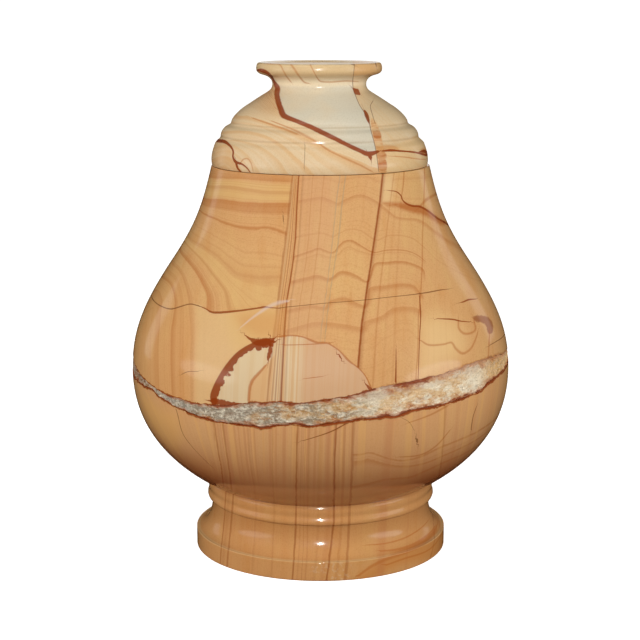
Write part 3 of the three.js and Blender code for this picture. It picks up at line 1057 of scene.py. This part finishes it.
# Darker tints, which multiply the colour under them: the stone's speckle, and painted shade low on the
# bowl, on the foot, in its hollows and in the lid's grooves
SPECKLE = (0.84, 0.78, 0.72, 1)
LID_SPECKLE = (0.86, 0.82, 0.78, 1)
LOW_SIDE_PAINTED_SHADE = (0.8, 0.59, 0.49, 1)
FOOT_PAINTED_SHADE = (0.85, 0.78, 0.71, 1)
HOLLOW_PAINTED_SHADE = (0.7, 0.62, 0.56, 1)
GROOVE_PAINTED_SHADE = (0.7, 0.62, 0.54, 1)


def body_material():
    graph = Graph("banded_stone", TAN)
    upper = graph.field("upper_veins")
    lower = graph.field("lower_veins")
    level = graph.field("foot_level")
    above = graph.area("seam_gap", -0.4, 0.4)
    below = graph.rest(above)
    over_crack = graph.area("crack_side", 0.3, -0.3)
    hair = graph.noise(90, 3, 0.6, (1, 1, 0.4), shift=5)
    fine = graph.noise(1, 2, 0.6, (700, 300, 14), shift=9)
    edge_noise = graph.noise(520, 3, 0.6, shift=2)

    # Soft clouds, upright streaks and a fine speckle that all the stone has
    clouds = graph.noise(16, 3, 0.5, shift=3.1)
    streaks = graph.noise(1, 4, 0.6, (150, 60, 7), shift=1.7)
    graph.tint(GOLD, graph.step(clouds, 0.5, 0.75, 0, 0.35))
    graph.tint(AMBER, graph.step(clouds, 0.48, 0.25, 0, 0.3))
    graph.tint(AMBER, graph.step(streaks, 0.5, 0.72, 0, 0.35))
    graph.tint(GOLD, graph.step(streaks, 0.5, 0.3, 0, 0.3))
    graph.shade(SPECKLE, graph.step(graph.noise(1300, 2, 0.6), 0.45, 0.7, 0, 0.5))

    # Strata of the left side
    left = graph.wobble(graph.field("left_strata"), hair, 0.12)
    on_left = graph.times(graph.step(upper, 2.06, 1.94), above)
    graph.tint(PALE, on_left, graph.rest(over_crack), graph.step(left, 9.05, 8.3), 0.42)
    graph.tint(GOLD, on_left, graph.band(left, 1.1, 1.6, 2.6, 3.1), 0.6)
    graph.tint(GOLD, on_left, graph.band(left, 5.2, 6.5, 6.9, 7.4), 0.45)
    graph.tint(AMBER, on_left, graph.step(left, 8.95, 9.05), 0.25)
    figured = graph.most(over_crack, graph.step(left, 8.9, 9.1))
    graph.tint(RUST, on_left, figured, graph.growth(left, 9, 0.48, 0.68), 0.15)
    graph.tint(RUST, on_left, 0.62, graph.vein_lines(
        left, (0.75, 0.5, 0.35, 0.3), (1.15, 0.35, 0.06, 0.55), (2, 0.08, 0.35, 0.4),
        (3.0, 0.1, 0.95, 0.72), (3.8, 0.4, 0.3, 0.55), (5, 0.16, 0.05, 0.75), (6, 0.3, 0.1, 0.25)))
    graph.tint(RUST, on_left, over_crack, 0.6, graph.vein_lines(
        left, (7, 0.2, 0.12, 0.5), (8, 0.35, 0.12, 0.75), (7.5, 0.1, 0.2, 0.2)))
    graph.tint(RUST, on_left, 0.42, graph.vein_lines(
        left, (8.97, 0.3, 0.05, 0.55), (9.45, 0.1, 0.3, 0.3), (10, 0.3, 0.07, 0.75), (11, 0.1, 0.3, 0.5)))

    # Arched lines of the middle and right columns
    arches = graph.wobble(graph.field("arches"), hair, 0.1)
    on_right = graph.times(graph.step(upper, 2.95, 3.1), above)
    calm = graph.most(graph.step(upper, 9.1, 9.0), graph.step(arches, 3.2, 2.8))
    calm = graph.times(on_right, calm)
    graph.tint(RUST, calm, 0.5, graph.vein_lines(
        arches, (1, 0.15, 0.05, 0.3), (2, 0.03, 0.14, 0.6), (3, 0.03, 0.1, 0.35), (4, 0.025, 0.12, 0.9),
        (4.22, 0.03, 0.06, 0.4), (5, 0.03, 0.18, 0.9), (6, 0.04, 0.25, 0.75), (7, 0.04, 0.3, 0.6)))
    graph.tint(RUST, calm, graph.growth(arches, 9, 0.5, 0.7), 0.09)
    graph.tint(PINK, graph.band(upper, 3.0, 3.15, 4.0, 4.5), above, 0.3)
    graph.tint(PALE, graph.area("right_pale", -3, 2), 0.6)
    # Painted highlight: a soft pale gold glow on the right, above the seam
    graph.tint(HIGHLIGHT_GOLD, graph.area("painted_highlight", -6, 7), above, 0.7)

    # Under the seam the stone is redder and closely striped. Painted shade: the bowl grows redder towards
    # the foot, and darker low on its sides
    on_foot = graph.step(level, 0.5, -0.5)
    off_foot = graph.rest(on_foot)
    graph.tint(PINK, below, off_foot, 0.3)
    graph.tint(AMBER, below, 0.18)
    # Painted shade: redder towards the foot of the bowl
    graph.tint(RUST, graph.step(level, 46, 8, 0, 0.4), graph.step(level, -0.5, 0.5))
    # Painted shade: darker low on the bowl's sides
    graph.shade(LOW_SIDE_PAINTED_SHADE, graph.step(level, 40, 8), off_foot, graph.area("aside", 0.15, 0.75, 0.15, 1))
    low_arches = graph.wobble(graph.field("low_strata"), hair, 0.1)
    graph.tint(RUST, below, graph.step(lower, 8.95, 9.1), 0.5, graph.vein_lines(
        low_arches, (2, 0.05, 0.2, 0.8), (3, 0.04, 0.25, 0.7), (4, 0.05, 0.2, 0.6), (2.6, 0.05, 0.1, 0.3)))
    graph.tint(ROSE, below, graph.band(lower, 1.9, 2.1, 8.9, 9.15), graph.growth(lower, 5, 0.46, 0.62),
               graph.step(on_foot, 0, 1, 0.42, 0.06))
    graph.tint(ROSE, below, graph.growth(lower, 23, 0.46, 0.66), 0.1)
    graph.tint(WARM_GOLD, below, graph.growth(lower, 2.3, 0.5, 0.62), graph.step(level, 12, 40), 0.38)
    graph.tint(DEEP_GOLD, graph.area("low_left", -7, 5, 0, 0.55))
    graph.tint(AMBER, graph.area("foot_flame", -3, 3, 0, 0.8))
    # Painted highlight: a thin pale line along the plinth's arris
    graph.tint(PALE, graph.band(level, -29, -28.6, -28.3, -28), 0.6)
    graph.tint(CREAM, graph.area("scuff", -0.8, 0.8), graph.step(edge_noise, 0.5, 0.6), 0.4)

    # Upright veins
    line = graph.wobble(upper, fine, 0.04)
    graph.tint(RUST, above, on_right, graph.growth(line, 13, 0.5, 0.68), 0.06)
    graph.tint(GREY_VEIN, above, 0.75, graph.vein_lines(
        line, (2.15, 0.1, 0.1, 0.4), (4, 0.02, 0.14, 0.7), (4.5, 0.2, 0.2, 0.2), (5, 0.2, 0.03, 0.7)))
    graph.tint(RUST, above, 0.6, graph.vein_lines(
        line, (1, 0.05, 0.05, 0.06), (3.35, 0.02, 0.02, 0.4), (3.62, 0.03, 0.02, 0.4),
        (7, 0.07, 0.1, 0.5), (7.5, 0.08, 0.08, 0.18), (8, 0.08, 0.06, 0.25), (8.95, 0.06, 0.02, 0.75)))
    graph.tint(BROWN, above, 0.85, graph.vein_lines(line, (6, 0.05, 0.09, 1), (6.02, 0.03, 0.3, 0.35)))
    low_line = graph.wobble(lower, fine, 0.1)
    graph.tint(ROSE, below, 0.6, graph.vein_lines(
        low_line, (7.8, 0.15, 0.15, 0.4), (10, 0.2, 0.2, 0.6), (11, 0.05, 0.05, 0.3),
        (12.4, 0.1, 0.1, 0.3), (13, 0.1, 0.1, 0.4)))
    graph.tint(BROWN, below, 0.6, graph.vein_lines(
        low_line, (2, 0.04, 0.12, 0.75), (2.4, 0.3, 0.3, 0.2), (3, 0.14, 0.06, 0.7), (4, 0.05, 0.1, 0.22),
        (5, 0.05, 0.08, 0.28), (6, 0.07, 0.08, 0.9), (6.35, 0.06, 0.1, 0.22), (6.7, 0.06, 0.06, 0.35),
        (7, 0.05, 0.09, 0.3), (7.4, 0.06, 0.1, 0.2), (8, 0.06, 0.09, 0.95), (8.5, 0.1, 0.12, 0.22),
        (9, 0.1, 0.06, 0.6), (12, 0.05, 0.05, 0.5)))

    # Painted shade: the foot is a little darker, most in its hollows under the collar and where it meets
    # the bowl
    graph.shade(FOOT_PAINTED_SHADE, on_foot)
    nook = graph.times(graph.band(level, -24, -13, -12.2, -11.2), 0.8)
    junction_shade = graph.band(level, -2.5, 0, 0.5, 5)
    graph.shade(HOLLOW_PAINTED_SHADE, graph.most(nook, junction_shade), 0.55)

    # Cream inclusion, its stripes, and its brown arc
    inside = graph.step(graph.wobble(graph.field("inclusion"), edge_noise, 1.2), -0.3, 0.3)
    inside = graph.times(inside, above)
    graph.tint(CREAM, inside, 0.9)
    graph.tint(TAN, inside, graph.area("inner_side", -0.4, 0.4), graph.step(upper, 2.5, 1.9), 0.75)
    graph.tint(PINK, inside, graph.step(upper, 3.3, 3.7), 0.8)
    graph.tint(AMBER, inside, graph.growth(line, 9, 0.45, 0.6), graph.step(upper, 1.9, 2.1, 0.3, 1),
               graph.step(upper, 3.3, 3.8, 0.5, 0.15))
    graph.tint(BROWN, above, 0.8, graph.vein_lines(
        line, (1.985, 0.015, 0.1, 0.5), (2.3, 0.07, 0.08, 0.5), (2.55, 0.07, 0.1, 0.6),
        (2.78, 0.06, 0.05, 0.35), (3, 0.15, 0.03, 1), (3.1, 0.02, 0.05, 0.3)))
    graph.tint(AMBER, graph.area("orange_cloud", -5, 5), 0.55)
    graph.tint(RUST, graph.stroke("inner_curves", edge_noise, 0.8, 0.5), 0.65)
    moved = graph.add("ShaderNodeMapping", graph.here, (1.2, 1.2, 1.2)).outputs[0]
    lobes = graph.add("ShaderNodeTexVoronoi", moved)
    lobes.inputs["Scale"].default_value = 270
    arc = graph.field("brown_arc_0")
    inner_edge = graph.plus(arc, graph.times(lobes.outputs["Distance"], 1.5))
    inner_edge = graph.wobble(inner_edge, edge_noise, 1.1)
    graph.tint(BROWN, graph.step(inner_edge, 1.25, 1.45, 1, 0), graph.step(arc, -1.15, -0.9),
               graph.field("brown_arc_0_near"), 0.92)
    graph.tint(BROWN, graph.stroke("brown_spots", edge_noise, 1.4), 0.92)

    # Brown wedge and clouds on the right, and cracks
    wedge = graph.wobble(graph.field("wedge"), edge_noise, 1.2)
    graph.tint(RUST, graph.step(wedge, -1.6, 0.9), 0.75)
    blot = graph.wobble(graph.field("blot"), edge_noise, 1.4)
    graph.tint(BLOT_BROWN, graph.step(blot, -0.5, 0.4), 0.8)
    graph.tint(RUST, graph.stroke("soft_strokes", edge_noise, 0.5, 0.8), 0.5)
    graph.tint(BROWN, graph.stroke("brown_strokes", edge_noise, 0.5), 0.85)
    graph.tint(UMBER, graph.stroke("dark_strokes", edge_noise, 0.6), 0.75)
    # Painted reflection: a pale lavender streak beside the long crack
    graph.tint(REFLECTION_LAVENDER, graph.stroke("painted_reflection", edge_noise, 0.8, 0.9), 0.42)

    # Brown rims along the crystal seam
    rim = graph.wobble(graph.field("seam_edge"), graph.noise(330, 4, 0.7, shift=4), 2.4)
    rim_width = graph.step(graph.noise(55, 2, 0.6, shift=14), 0.35, 0.65, 0.3, 1.7)
    rim = graph.math("DIVIDE", graph.size(rim), rim_width)
    pale_rim = graph.times(above, graph.step(upper, 6.8, 7.6))
    graph.tint(BROWN, graph.step(rim, 0.3, 0.85, 0.9, 0), graph.step(pale_rim, 0, 1, 1, 0.4))
    return polished(graph, 0.12)


def lid_material():
    graph = Graph("pale_banded_stone", LID_CREAM)
    hair = graph.noise(90, 3, 0.6, shift=5)
    edge_noise = graph.noise(420, 3, 0.6, shift=2)
    strata = graph.wobble(graph.field("lid_strata"), hair, 0.16)
    fan = graph.wobble(graph.field("lid_fan"), hair, 0.25)
    split = graph.field("lid_split")
    height = graph.field("lid_height")
    past_crack = graph.area("lid_crack", -0.3, 0.3)
    graph.tint(LID_GOLD, graph.step(graph.noise(30, 3, 0.5, shift=8), 0.45, 0.75, 0, 0.5))

    # Below the thick vein the stone is warmer and banded
    under = graph.step(split, -0.6, 0.6)
    graph.tint(LID_GOLD, under, 0.85)
    graph.tint(LID_AMBER, under, 0.62, graph.vein_lines(
        strata, (1, 0.06, 0.3, 0.9), (1.45, 0.15, 0.1, 0.4), (2, 0.07, 0.35, 0.85), (2.5, 0.2, 0.3, 0.3),
        (3, 0.07, 0.3, 0.6), (3.5, 0.1, 0.1, 0.3), (4, 0.1, 0.3, 0.6), (4.5, 0.1, 0.2, 0.5),
        (5, 0.1, 0.3, 0.8), (5.3, 0.1, 0.1, 0.5), (5.6, 0.2, 0.2, 0.7)))
    graph.tint(LID_AMBER, under, graph.growth(strata, 9, 0.48, 0.66), 0.13)
    near_vein = graph.times(under, graph.step(split, 20, 2), graph.step(height, -14, -6))
    graph.tint(LID_AMBER, near_vein, 0.42)
    graph.tint(LID_RUST, near_vein, graph.growth(fan, 12, 0.42, 0.62), 0.5)
    graph.tint(LID_AMBER, graph.area("lid_left", -0.6, 1.2, 0, 0.4))

    # Right of the long crack, and on the right of the rim, the stone is more golden
    graph.tint(LID_STRAW, past_crack, 0.6)
    across = graph.plus(strata, graph.times(height, 0.05))
    graph.tint(LID_AMBER, past_crack, graph.growth(across, 7, 0.45, 0.65), 0.2)
    rim_zone = graph.step(height, 7.5, 9.5)
    graph.tint(LID_STRAW, rim_zone, 0.8)
    graph.tint(LID_AMBER, rim_zone, past_crack, 0.6)
    # Painted light: a pale band over the neck and the underside of the rim
    graph.tint(LID_PAINTED_LIGHT, graph.band(height, 3, 5.5, 9, 10.5), 0.6)

    # Painted shade: a thin darker line in each groove between the mouldings
    groove_shade = graph.most(graph.band(height, -16.8, -16.1, -15.8, -15.2),
                         graph.band(height, -24.2, -23.4, -23.1, -22.3))
    graph.shade(GROOVE_PAINTED_SHADE, groove_shade, 0.5)

    # Block of short bars between the crack and the line on its right
    ladder = graph.area("ladder", -0.3, 0.3)
    bar = graph.noise(1, 2, 0.7, (60, 60, 420), shift=4)
    graph.tint(LID_AMBER, ladder, 0.55)
    graph.tint(LID_RUST, ladder, graph.step(bar, 0.5, 0.58), 0.4)
    bricks = graph.step(graph.wobble(graph.field("bricks"), edge_noise, 1), -0.3, 0.3)
    graph.tint(RUST, bricks, graph.step(bar, 0.35, 0.6, 0.55, 1), 0.7)

    # Veins, of which the thick one goes on through the back
    graph.tint(AMBER, graph.area("lid_flush", -0.8, 0.6), 0.7)
    graph.tint(LID_RUST, graph.stroke("rim_streaks", edge_noise, 0.6, 0.8), 0.6)
    graph.tint(BROWN, graph.stroke("lid_brown", edge_noise, 0.35), 0.93)
    graph.tint(UMBER, graph.stroke("lid_thin", edge_noise, 0.4), 0.65)
    through = graph.wobble(graph.size(split), edge_noise, 0.8)
    graph.tint(BROWN, graph.step(through, 1, 1.5, 0.9, 0), graph.area("depth", 2, 6))
    graph.shade(LID_SPECKLE, graph.step(graph.noise(1300, 2, 0.6), 0.45, 0.7, 0, 0.45))
    return polished(graph, 0.2)


def crystal_material():
    graph = Graph("crystal_seam")
    across = graph.field("seam_share")
    along = graph.field("seam_aside")
    areas = graph.noise(1, 3, 0.6, (42, 42, 90), shift=12)
    patches = graph.noise(1, 4, 0.62, (120, 120, 240), shift=5)
    lumps = graph.noise(1, 4, 0.72, (290, 290, 520), shift=1)
    specks = graph.noise(1, 3, 0.7, (700, 700, 1200), shift=6)
    graph.colour = graph.mix(GREY_LEFT, GREY_RIGHT, graph.step(along, -0.05, 0.45))
    graph.tint(WHITE, graph.step(lumps, 0.42, 0.66))
    graph.tint(SLATE, graph.step(patches, 0.36, 0.62), graph.step(along, 0.2, -0.7), 0.55)
    graph.tint(MILK, graph.step(along, 0.05, 0.45), 0.82)
    graph.tint(HONEY, graph.step(areas, 0.42, 0.56), graph.step(patches, 0.4, 0.55),
               graph.step(along, -0.6, 0.2, 0.3, 0.66))
    graph.tint(ORANGE, graph.step(areas, 0.5, 0.62), graph.step(lumps, 0.5, 0.38), 0.5)
    graph.tint(UMBER, graph.step(along, -0.82, -0.95), 0.5)
    graph.tint(HONEY, graph.step(along, 0.76, 0.88), 0.75)
    graph.tint(UMBER, graph.step(patches, 0.4, 0.33), 0.28)
    graph.tint(WHITE, graph.step(specks, 0.58, 0.66), 0.75)
    graph.tint(RUST, graph.step(specks, 0.4, 0.32), 0.35)

    # Glassy upper edge on the right, and brown edges
    rough_edge = graph.wobble(graph.size(across), patches, 1.9)
    glassy = graph.times(graph.step(across, 0.1, 0.5), graph.step(along, 0.5, 0.62))
    graph.tint(BLUSH, glassy, graph.step(patches, 0.6, 0.45), 0.4)
    graph.tint(ROSE, graph.step(rough_edge, 0.55, 0.85), 0.6)
    graph.tint(BROWN, graph.step(rough_edge, 0.8, 1.0, 0, 0.85), graph.rest(graph.times(glassy, 0.7)))
    graph.tint(BROWN, graph.step(across, 0.1, 0.6), graph.band(along, 0.15, 0.35, 0.45, 0.6),
               graph.step(lumps, 0.4, 0.54), 0.5)
    graph.put(graph.shader.inputs["Roughness"], graph.step(lumps, 0.4, 0.6, 0.18, 0.5))
    return graph.finished(graph.plus(lumps, graph.times(specks, 0.5)), 0.0009)


# Pieces

def front_fields(piece, x, y, z, upright, nested, areas, lines):
    """Store named fields on a piece; behind the axis the strata are tilted."""
    depth = np.maximum(y, 0)
    z_back = z + BACK_TILT * depth * np.sin(depth / TILT_WAVE_DEEP + x / TILT_WAVE_WIDE)
    for name, curves in upright.items():
        give(piece, name, upright_family(curves, x, z))
    for name, curves in nested.items():
        give(piece, name, nested_family(curves, x, z_back))
    for name, patches in areas.items():
        value = np.max([area_field(patch, x, z) for patch in patches], axis=0)
        give(piece, name, np.where(y < 0, value, np.minimum(value, AREAS_GONE)))
    for name, paths in lines.items():
        layers = stroke_layers(paths)
        LAYERS[name] = len(layers)
        for i, layer in enumerate(layers):
            ratio, near = strokes(layer, x, z)
            give(piece, f"{name}_{i}", ratio)
            give(piece, f"{name}_{i}_near", np.where(y < STROKES_END, near, 0))


def give_side(piece, name, path, x, z, fall=0.0):
    """Store the signed distance to a given line, run on straight past its ends.

    A fall is taken off it."""
    line = smooth_line(place(np.array(path)[:, :2]))
    give(piece, name, side_distance(line, x, z, True)[0] - fall)


def foot_rows():
    """Foot rows: even along the mouldings, few on the plinth's straight wall."""
    wall = (FOOT[:, 1] > UNDERSIDE_EASING - 0.01) & (FOOT[:, 1] < PLINTH_HEIGHT - ARRIS_EASING + 0.01)
    before = FOOT[:np.argmax(wall)]
    after = FOOT[np.where(wall)[0][-1] + 1:]
    arris_points, wall_spacing, row_spacing = 7, 2.4, 0.95
    return joined((UNDERSIDE_ROW, 0), before[::3], resampled(FOOT[wall], wall_spacing),
                  after[:arris_points:2], resampled(after[arris_points:], row_spacing))


def lip_rows():
    """Rows from the eased lip down the bore to the middle of the floor."""
    rounding = bezier((BOWL[-1, 0] + 0.05, MOUTH_LEVEL - 0.4), (MOUTH_RADIUS - 0.05, MOUTH_LEVEL - 0.1),
                      (MOUTH_RADIUS - 0.2, MOUTH_LEVEL), (MOUTH_RADIUS - 0.6, MOUTH_LEVEL), 4)
    return np.vstack([rounding[1:], hollow_outline()[:-1]])


def body_piece():
    angle = column_angles(front=286, back=100)
    wrapped = np.where(angle > math.pi, angle - 2 * math.pi, angle)
    top = seam_edge(wrapped, SEAM_TOP_PX, 1) + ragged(angle, seed=1.5)
    foot = seam_edge(wrapped, SEAM_FOOT_PX, -1) + ragged(angle, seed=7.5)
    along = lengths(BOWL)
    top_at = np.interp(top, BOWL[:, 1], along)
    foot_at = np.interp(foot, BOWL[:, 1], along)
    mouth_at = along[-1] - LIP_EASING

    # Bowl rows follow the seam: below it, in its groove, and above it
    below_rows, above_rows = 56, 88
    groove_shares, groove_floor = (0.02, 0.35, 0.65, 0.98), SEAM_DEPTH + 0.5
    rows = [(foot_at * i / below_rows, 0) for i in range(1, below_rows + 1)]
    rows += [(foot_at + (top_at - foot_at) * share, groove_floor) for share in groove_shares]
    rows += [(top_at + (mouth_at - top_at) * i / above_rows, 0) for i in range(above_rows + 1)]
    bowl_radius = [np.interp(at, along, BOWL[:, 0]) - inset for at, inset in rows]
    bowl_height = [np.interp(at, along, BOWL[:, 1]) for at, _ in rows]
    ring = np.ones(angle.shape)
    low, lip = foot_rows(), lip_rows()
    radius = np.vstack([low[:, :1] * ring, bowl_radius, lip[:, :1] * ring])
    z = np.vstack([low[:, 1:] * ring, bowl_height, lip[:, 1:] * ring])
    piece = turned_mesh("urn_body_stone", radius, z, angle)

    x = radius * np.sin(angle)
    y = -radius * np.cos(angle)
    front_fields(
        piece, x, y, z,
        dict(upper_veins=UPPER_VEINS, lower_veins=LOWER_VEINS),
        dict(left_strata=LEFT_STRATA, arches=ARCHES, low_strata=LOW_STRATA),
        dict(inclusion=[INCLUSION], wedge=[WEDGE], blot=[BLOT], right_pale=[RIGHT_PALE],
             low_left=[LOW_LEFT], foot_flame=[FOOT_FLAME], orange_cloud=[ORANGE_CLOUD],
             painted_highlight=[HIGHLIGHT_PATCH], scuff=[SCUFF]),
        dict(brown_arc=BROWN_ARC, brown_spots=BROWN_SPOTS, soft_strokes=SOFT_STROKES,
             painted_reflection=REFLECTION_STREAK, inner_curves=INNER_CURVES, brown_strokes=BROWN_STROKES,
             dark_strokes=DARK_STROKES))
    give(piece, "seam_gap", z - (top + foot) / 2)
    give(piece, "seam_edge", np.maximum(z - top, foot - z))
    give(piece, "foot_level", z - BOWL_BASE)
    give(piece, "aside", np.abs(np.sin(angle)) * np.ones(z.shape))
    crack_fall = 1.2
    give_side(piece, "crack_side", LONG_CRACK, x, z, crack_fall * np.maximum(y, 0))
    give_side(piece, "inner_side", INNER_CURVES[0][::-1], x, z)
    piece.data.materials.append(body_material())
    return piece, wrapped, top, foot


def crystal_piece(top_line, foot_line, angle_line):
    """Rough crystals that fill the groove, dipping under its edges."""
    columns, rows, past_edge = 1150, 56, 1.12
    lump_scale, chip_scale, facet_scale = 0.24, 0.7, 0.5
    lump_size, chip_share, facet_size, facet_limit, sunk = 0.4, 0.5, 0.5, 0.6, 0.42
    dip_start, dip_width, dip_depth, dip_power = 0.86, 0.2, 1.3, 1.5
    inset, proudest, back_depth = 0.1, 0.05, SEAM_DEPTH + 1.2
    angle = np.linspace(-math.pi, math.pi, columns, endpoint=False)
    top = np.interp(angle, angle_line, top_line, period=2 * math.pi)
    foot = np.interp(angle, angle_line, foot_line, period=2 * math.pi)
    share = np.linspace(-past_edge, past_edge, rows)[:, None]
    height = (top + foot) / 2 + share * (top - foot) / 2
    radius = outer_radius(height)
    relief = np.empty(height.shape)
    for i, j in np.ndindex(relief.shape):
        p = Vector((math.cos(angle[j]) * radius[i, j], math.sin(angle[j]) * radius[i, j], height[i, j]))
        lump = noise.noise(p * lump_scale) + chip_share * noise.noise(p * chip_scale)
        near_cell, next_cell = noise.voronoi(p * facet_scale)[0][:2]
        facet = min(next_cell - near_cell, facet_limit)
        relief[i, j] = lump_size * lump + facet_size * facet - sunk
    dip = np.clip((np.abs(share) - dip_start) / dip_width, 0, 1)
    front = radius - inset + np.minimum(relief, proudest) - dip_depth * dip ** dip_power
    back = radius - back_depth
    middle = rows // 2
    rows_r = np.vstack([back[:1], front, back[-1:], back[middle:middle + 1]])
    rows_z = np.vstack([height[:1], height, height[-1:], height[middle:middle + 1]])
    here = np.arange(rows_r.size).reshape(rows_r.shape)
    right = np.roll(here, -1, axis=1)
    quads = np.stack([here, right, np.roll(right, -1, axis=0), np.roll(here, -1, axis=0)], 2)
    verts = np.stack([rows_r * np.sin(angle), -rows_r * np.cos(angle), rows_z], 2).reshape(-1, 3)
    piece = new_piece("crystal_seam", verts, quads.reshape(-1, 4).tolist(), 30)
    shares = np.vstack([[[-1.2]], share, [[1.2]], [[0.0]]]) * np.ones(rows_r.shape)
    give(piece, "seam_share", shares, 0)
    give(piece, "seam_aside", np.sin(angle) * np.ones(rows_r.shape), 0)
    piece.data.materials.append(crystal_material())
    return piece


def lid_piece():
    angle = column_angles(front=330, back=110)
    row_spacing = 0.62
    outline = joined(lid_inside(), resampled(LID, row_spacing)[1:])[1:-1]
    ring = np.ones(angle.shape)
    radius = outline[:, :1] * ring
    z = outline[:, 1:] * ring
    aside = -LID_SHIFT - LID_LEAN * (z - LID_SEAT)
    piece = turned_mesh("lid_stone", radius, z, angle, aside)
    x = radius * np.sin(angle) + aside
    y = -radius * np.cos(angle)
    front_fields(piece, x, y, z, {}, dict(lid_strata=LID_STRATA, lid_fan=LID_FAN),
                 dict(ladder=[LADDER], lid_left=[LID_LEFT], lid_flush=LID_FLUSH, bricks=BRICKS),
                 dict(lid_brown=LID_BROWN, lid_thin=LID_THIN, rim_streaks=RIM_STREAKS))
    give(piece, "lid_height", z - LID_MARK)
    give(piece, "depth", y)
    give_side(piece, "lid_split", LID_BROWN[0], x, z)
    give_side(piece, "lid_crack", LID_THIN[0][::-1], x, z)
    piece.data.materials.append(lid_material())
    return piece


# Stage, camera and lights

def make_camera():
    data = bpy.data.cameras.new("camera")
    data.sensor_width = SENSOR_MM
    data.lens = LENS_PX / FRAME_PX * SENSOR_MM
    data.clip_end = 1000
    camera = bpy.data.objects.new("camera", data)
    side = (FRAME_PX / 2 - AXIS_PX) / LENS_PX * CAMERA_DISTANCE
    camera.location = (side * MM, -CAMERA_DISTANCE * MM, CAMERA_HEIGHT * MM)
    camera.rotation_euler = (math.pi / 2 - CAMERA_DIP, 0, 0)
    bpy.context.scene.collection.objects.link(camera)
    bpy.context.scene.camera = camera


def stage_card(name, corners, material):
    """Plain card of the stage that throws no light on the stone by itself."""
    mesh = bpy.data.meshes.new(name)
    mesh.from_pydata(corners, [], [(0, 1, 2, 3)])
    mesh.materials.append(material)
    card = bpy.data.objects.new(name, mesh)
    bpy.context.scene.collection.objects.link(card)
    card.visible_diffuse = False
    return card


def make_floor():
    """Pale floor that glows a little, as a light table does; the stone doesn't mirror it."""
    half = 400.0
    graph = Graph("pale_floor", Base_Color=linear(236, 235, 233), Roughness=0.95, Specular_IOR_Level=0,
                  Emission_Color=(1, 0.995, 0.985, 1), Emission_Strength=0.8)
    corners = [(-half, -half, 0), (half, -half, 0), (half, half, 0), (-half, half, 0)]
    stage_card("floor", corners, graph.material).visible_glossy = False


def make_flag():
    """Narrow black card that keeps the spark's image off the bowl, as a studio flag does."""
    low, high, half, front = 0.155, 0.292, 0.022, -0.4
    graph = Graph("black_card", Base_Color=(0, 0, 0, 1), Specular_IOR_Level=0)
    corners = [(-half, front, low), (half, front, low), (half, front, high), (-half, front, high)]
    stage_card("flag", corners, graph.material).visible_camera = False


def make_world():
    """Soft grey light from above and a little warm light from below."""
    from_below, from_above = (0.12, 0.055, 0.025, 1), (0.38, 0.37, 0.36, 1)
    horizon = 0.1
    world = bpy.data.worlds.new("studio")
    world.use_nodes = True
    bpy.context.scene.world = world
    tree = world.node_tree
    coordinates = tree.nodes.new("ShaderNodeTexCoord")
    split = tree.nodes.new("ShaderNodeSeparateXYZ")
    sky = tree.nodes.new("ShaderNodeMapRange")
    tint = tree.nodes.new("ShaderNodeMix")
    tint.data_type = "RGBA"
    tint.inputs[6].default_value = from_below
    tint.inputs[7].default_value = from_above
    sky.inputs["From Min"].default_value = -horizon
    sky.inputs["From Max"].default_value = horizon
    tree.links.new(coordinates.outputs["Generated"], split.inputs[0])
    tree.links.new(split.outputs["Z"], sky.inputs["Value"])
    tree.links.new(sky.outputs[0], tint.inputs["Factor"])
    tree.links.new(tint.outputs[2], tree.nodes["Background"].inputs[0])
    tree.nodes["Background"].inputs[1].default_value = 1
    world.cycles_visibility.glossy = False


def area_lamp(name, place_at, width, height, watts, lights, shape="RECTANGLE", aim=(0, 0, 0.14)):
    """Lamp that lights either the stone's colour or its polish, as named."""
    data = bpy.data.lights.new(name, "AREA")
    data.shape = shape
    data.size = width
    data.size_y = height
    data.energy = watts
    lamp = bpy.data.objects.new(name, data)
    lamp.location = place_at
    lamp.rotation_euler = (Vector(aim) - Vector(place_at)).to_track_quat("-Z", "Y").to_euler()
    lamp.visible_glossy = lights == "polish"
    lamp.visible_diffuse = lights == "colour"
    lamp.visible_camera = False
    bpy.context.scene.collection.objects.link(lamp)


def make_lamps():
    area_lamp("key", (-0.05, -1.7, 0.66), 1.3, 0.6, 16.5, "colour")
    area_lamp("fill_left", (-1.7, -0.75, 0.6), 1.2, 0.8, 17.6, "colour")
    area_lamp("fill_right", (1.7, -0.75, 0.6), 1.2, 0.8, 18, "colour")
    area_lamp("spark", (-0.002, -1.5, 0.5), 0.04, 0.04, 6, "polish")
    area_lamp("glow_left", (-1.6, -0.6, 0.22), 1.3, 0.34, 1.4, "polish", "ELLIPSE")
    area_lamp("glow_right", (1.6, -0.6, 0.22), 1.3, 0.34, 2.1, "polish", "ELLIPSE")
    area_lamp("back_card", (0, 2.0, 0.64), 0.5, 1.0, 1.4, "polish", aim=(0, 0, 0.27))
    area_lamp("canopy", (0, -0.45, 1.4), 1.6, 0.24, 1.8, "polish")
    area_lamp("strip_right", (1.2, 0.95, 0.55), 0.3, 0.8, 0.4, "polish")
    area_lamp("strip_left", (-1.25, 0.9, 0.3), 0.3, 0.6, 0.3, "polish")


bpy.context.scene.view_settings.view_transform = "Standard"
make_camera()
make_floor()
make_flag()
make_world()
make_lamps()

body, body_angle, seam_top, seam_foot = body_piece()
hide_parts("urn_body")
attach(body, "root")

crystals = crystal_piece(seam_top, seam_foot, body_angle)
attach(crystals, "root")

lid = lid_piece()
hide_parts("lid")
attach(lid, "root")
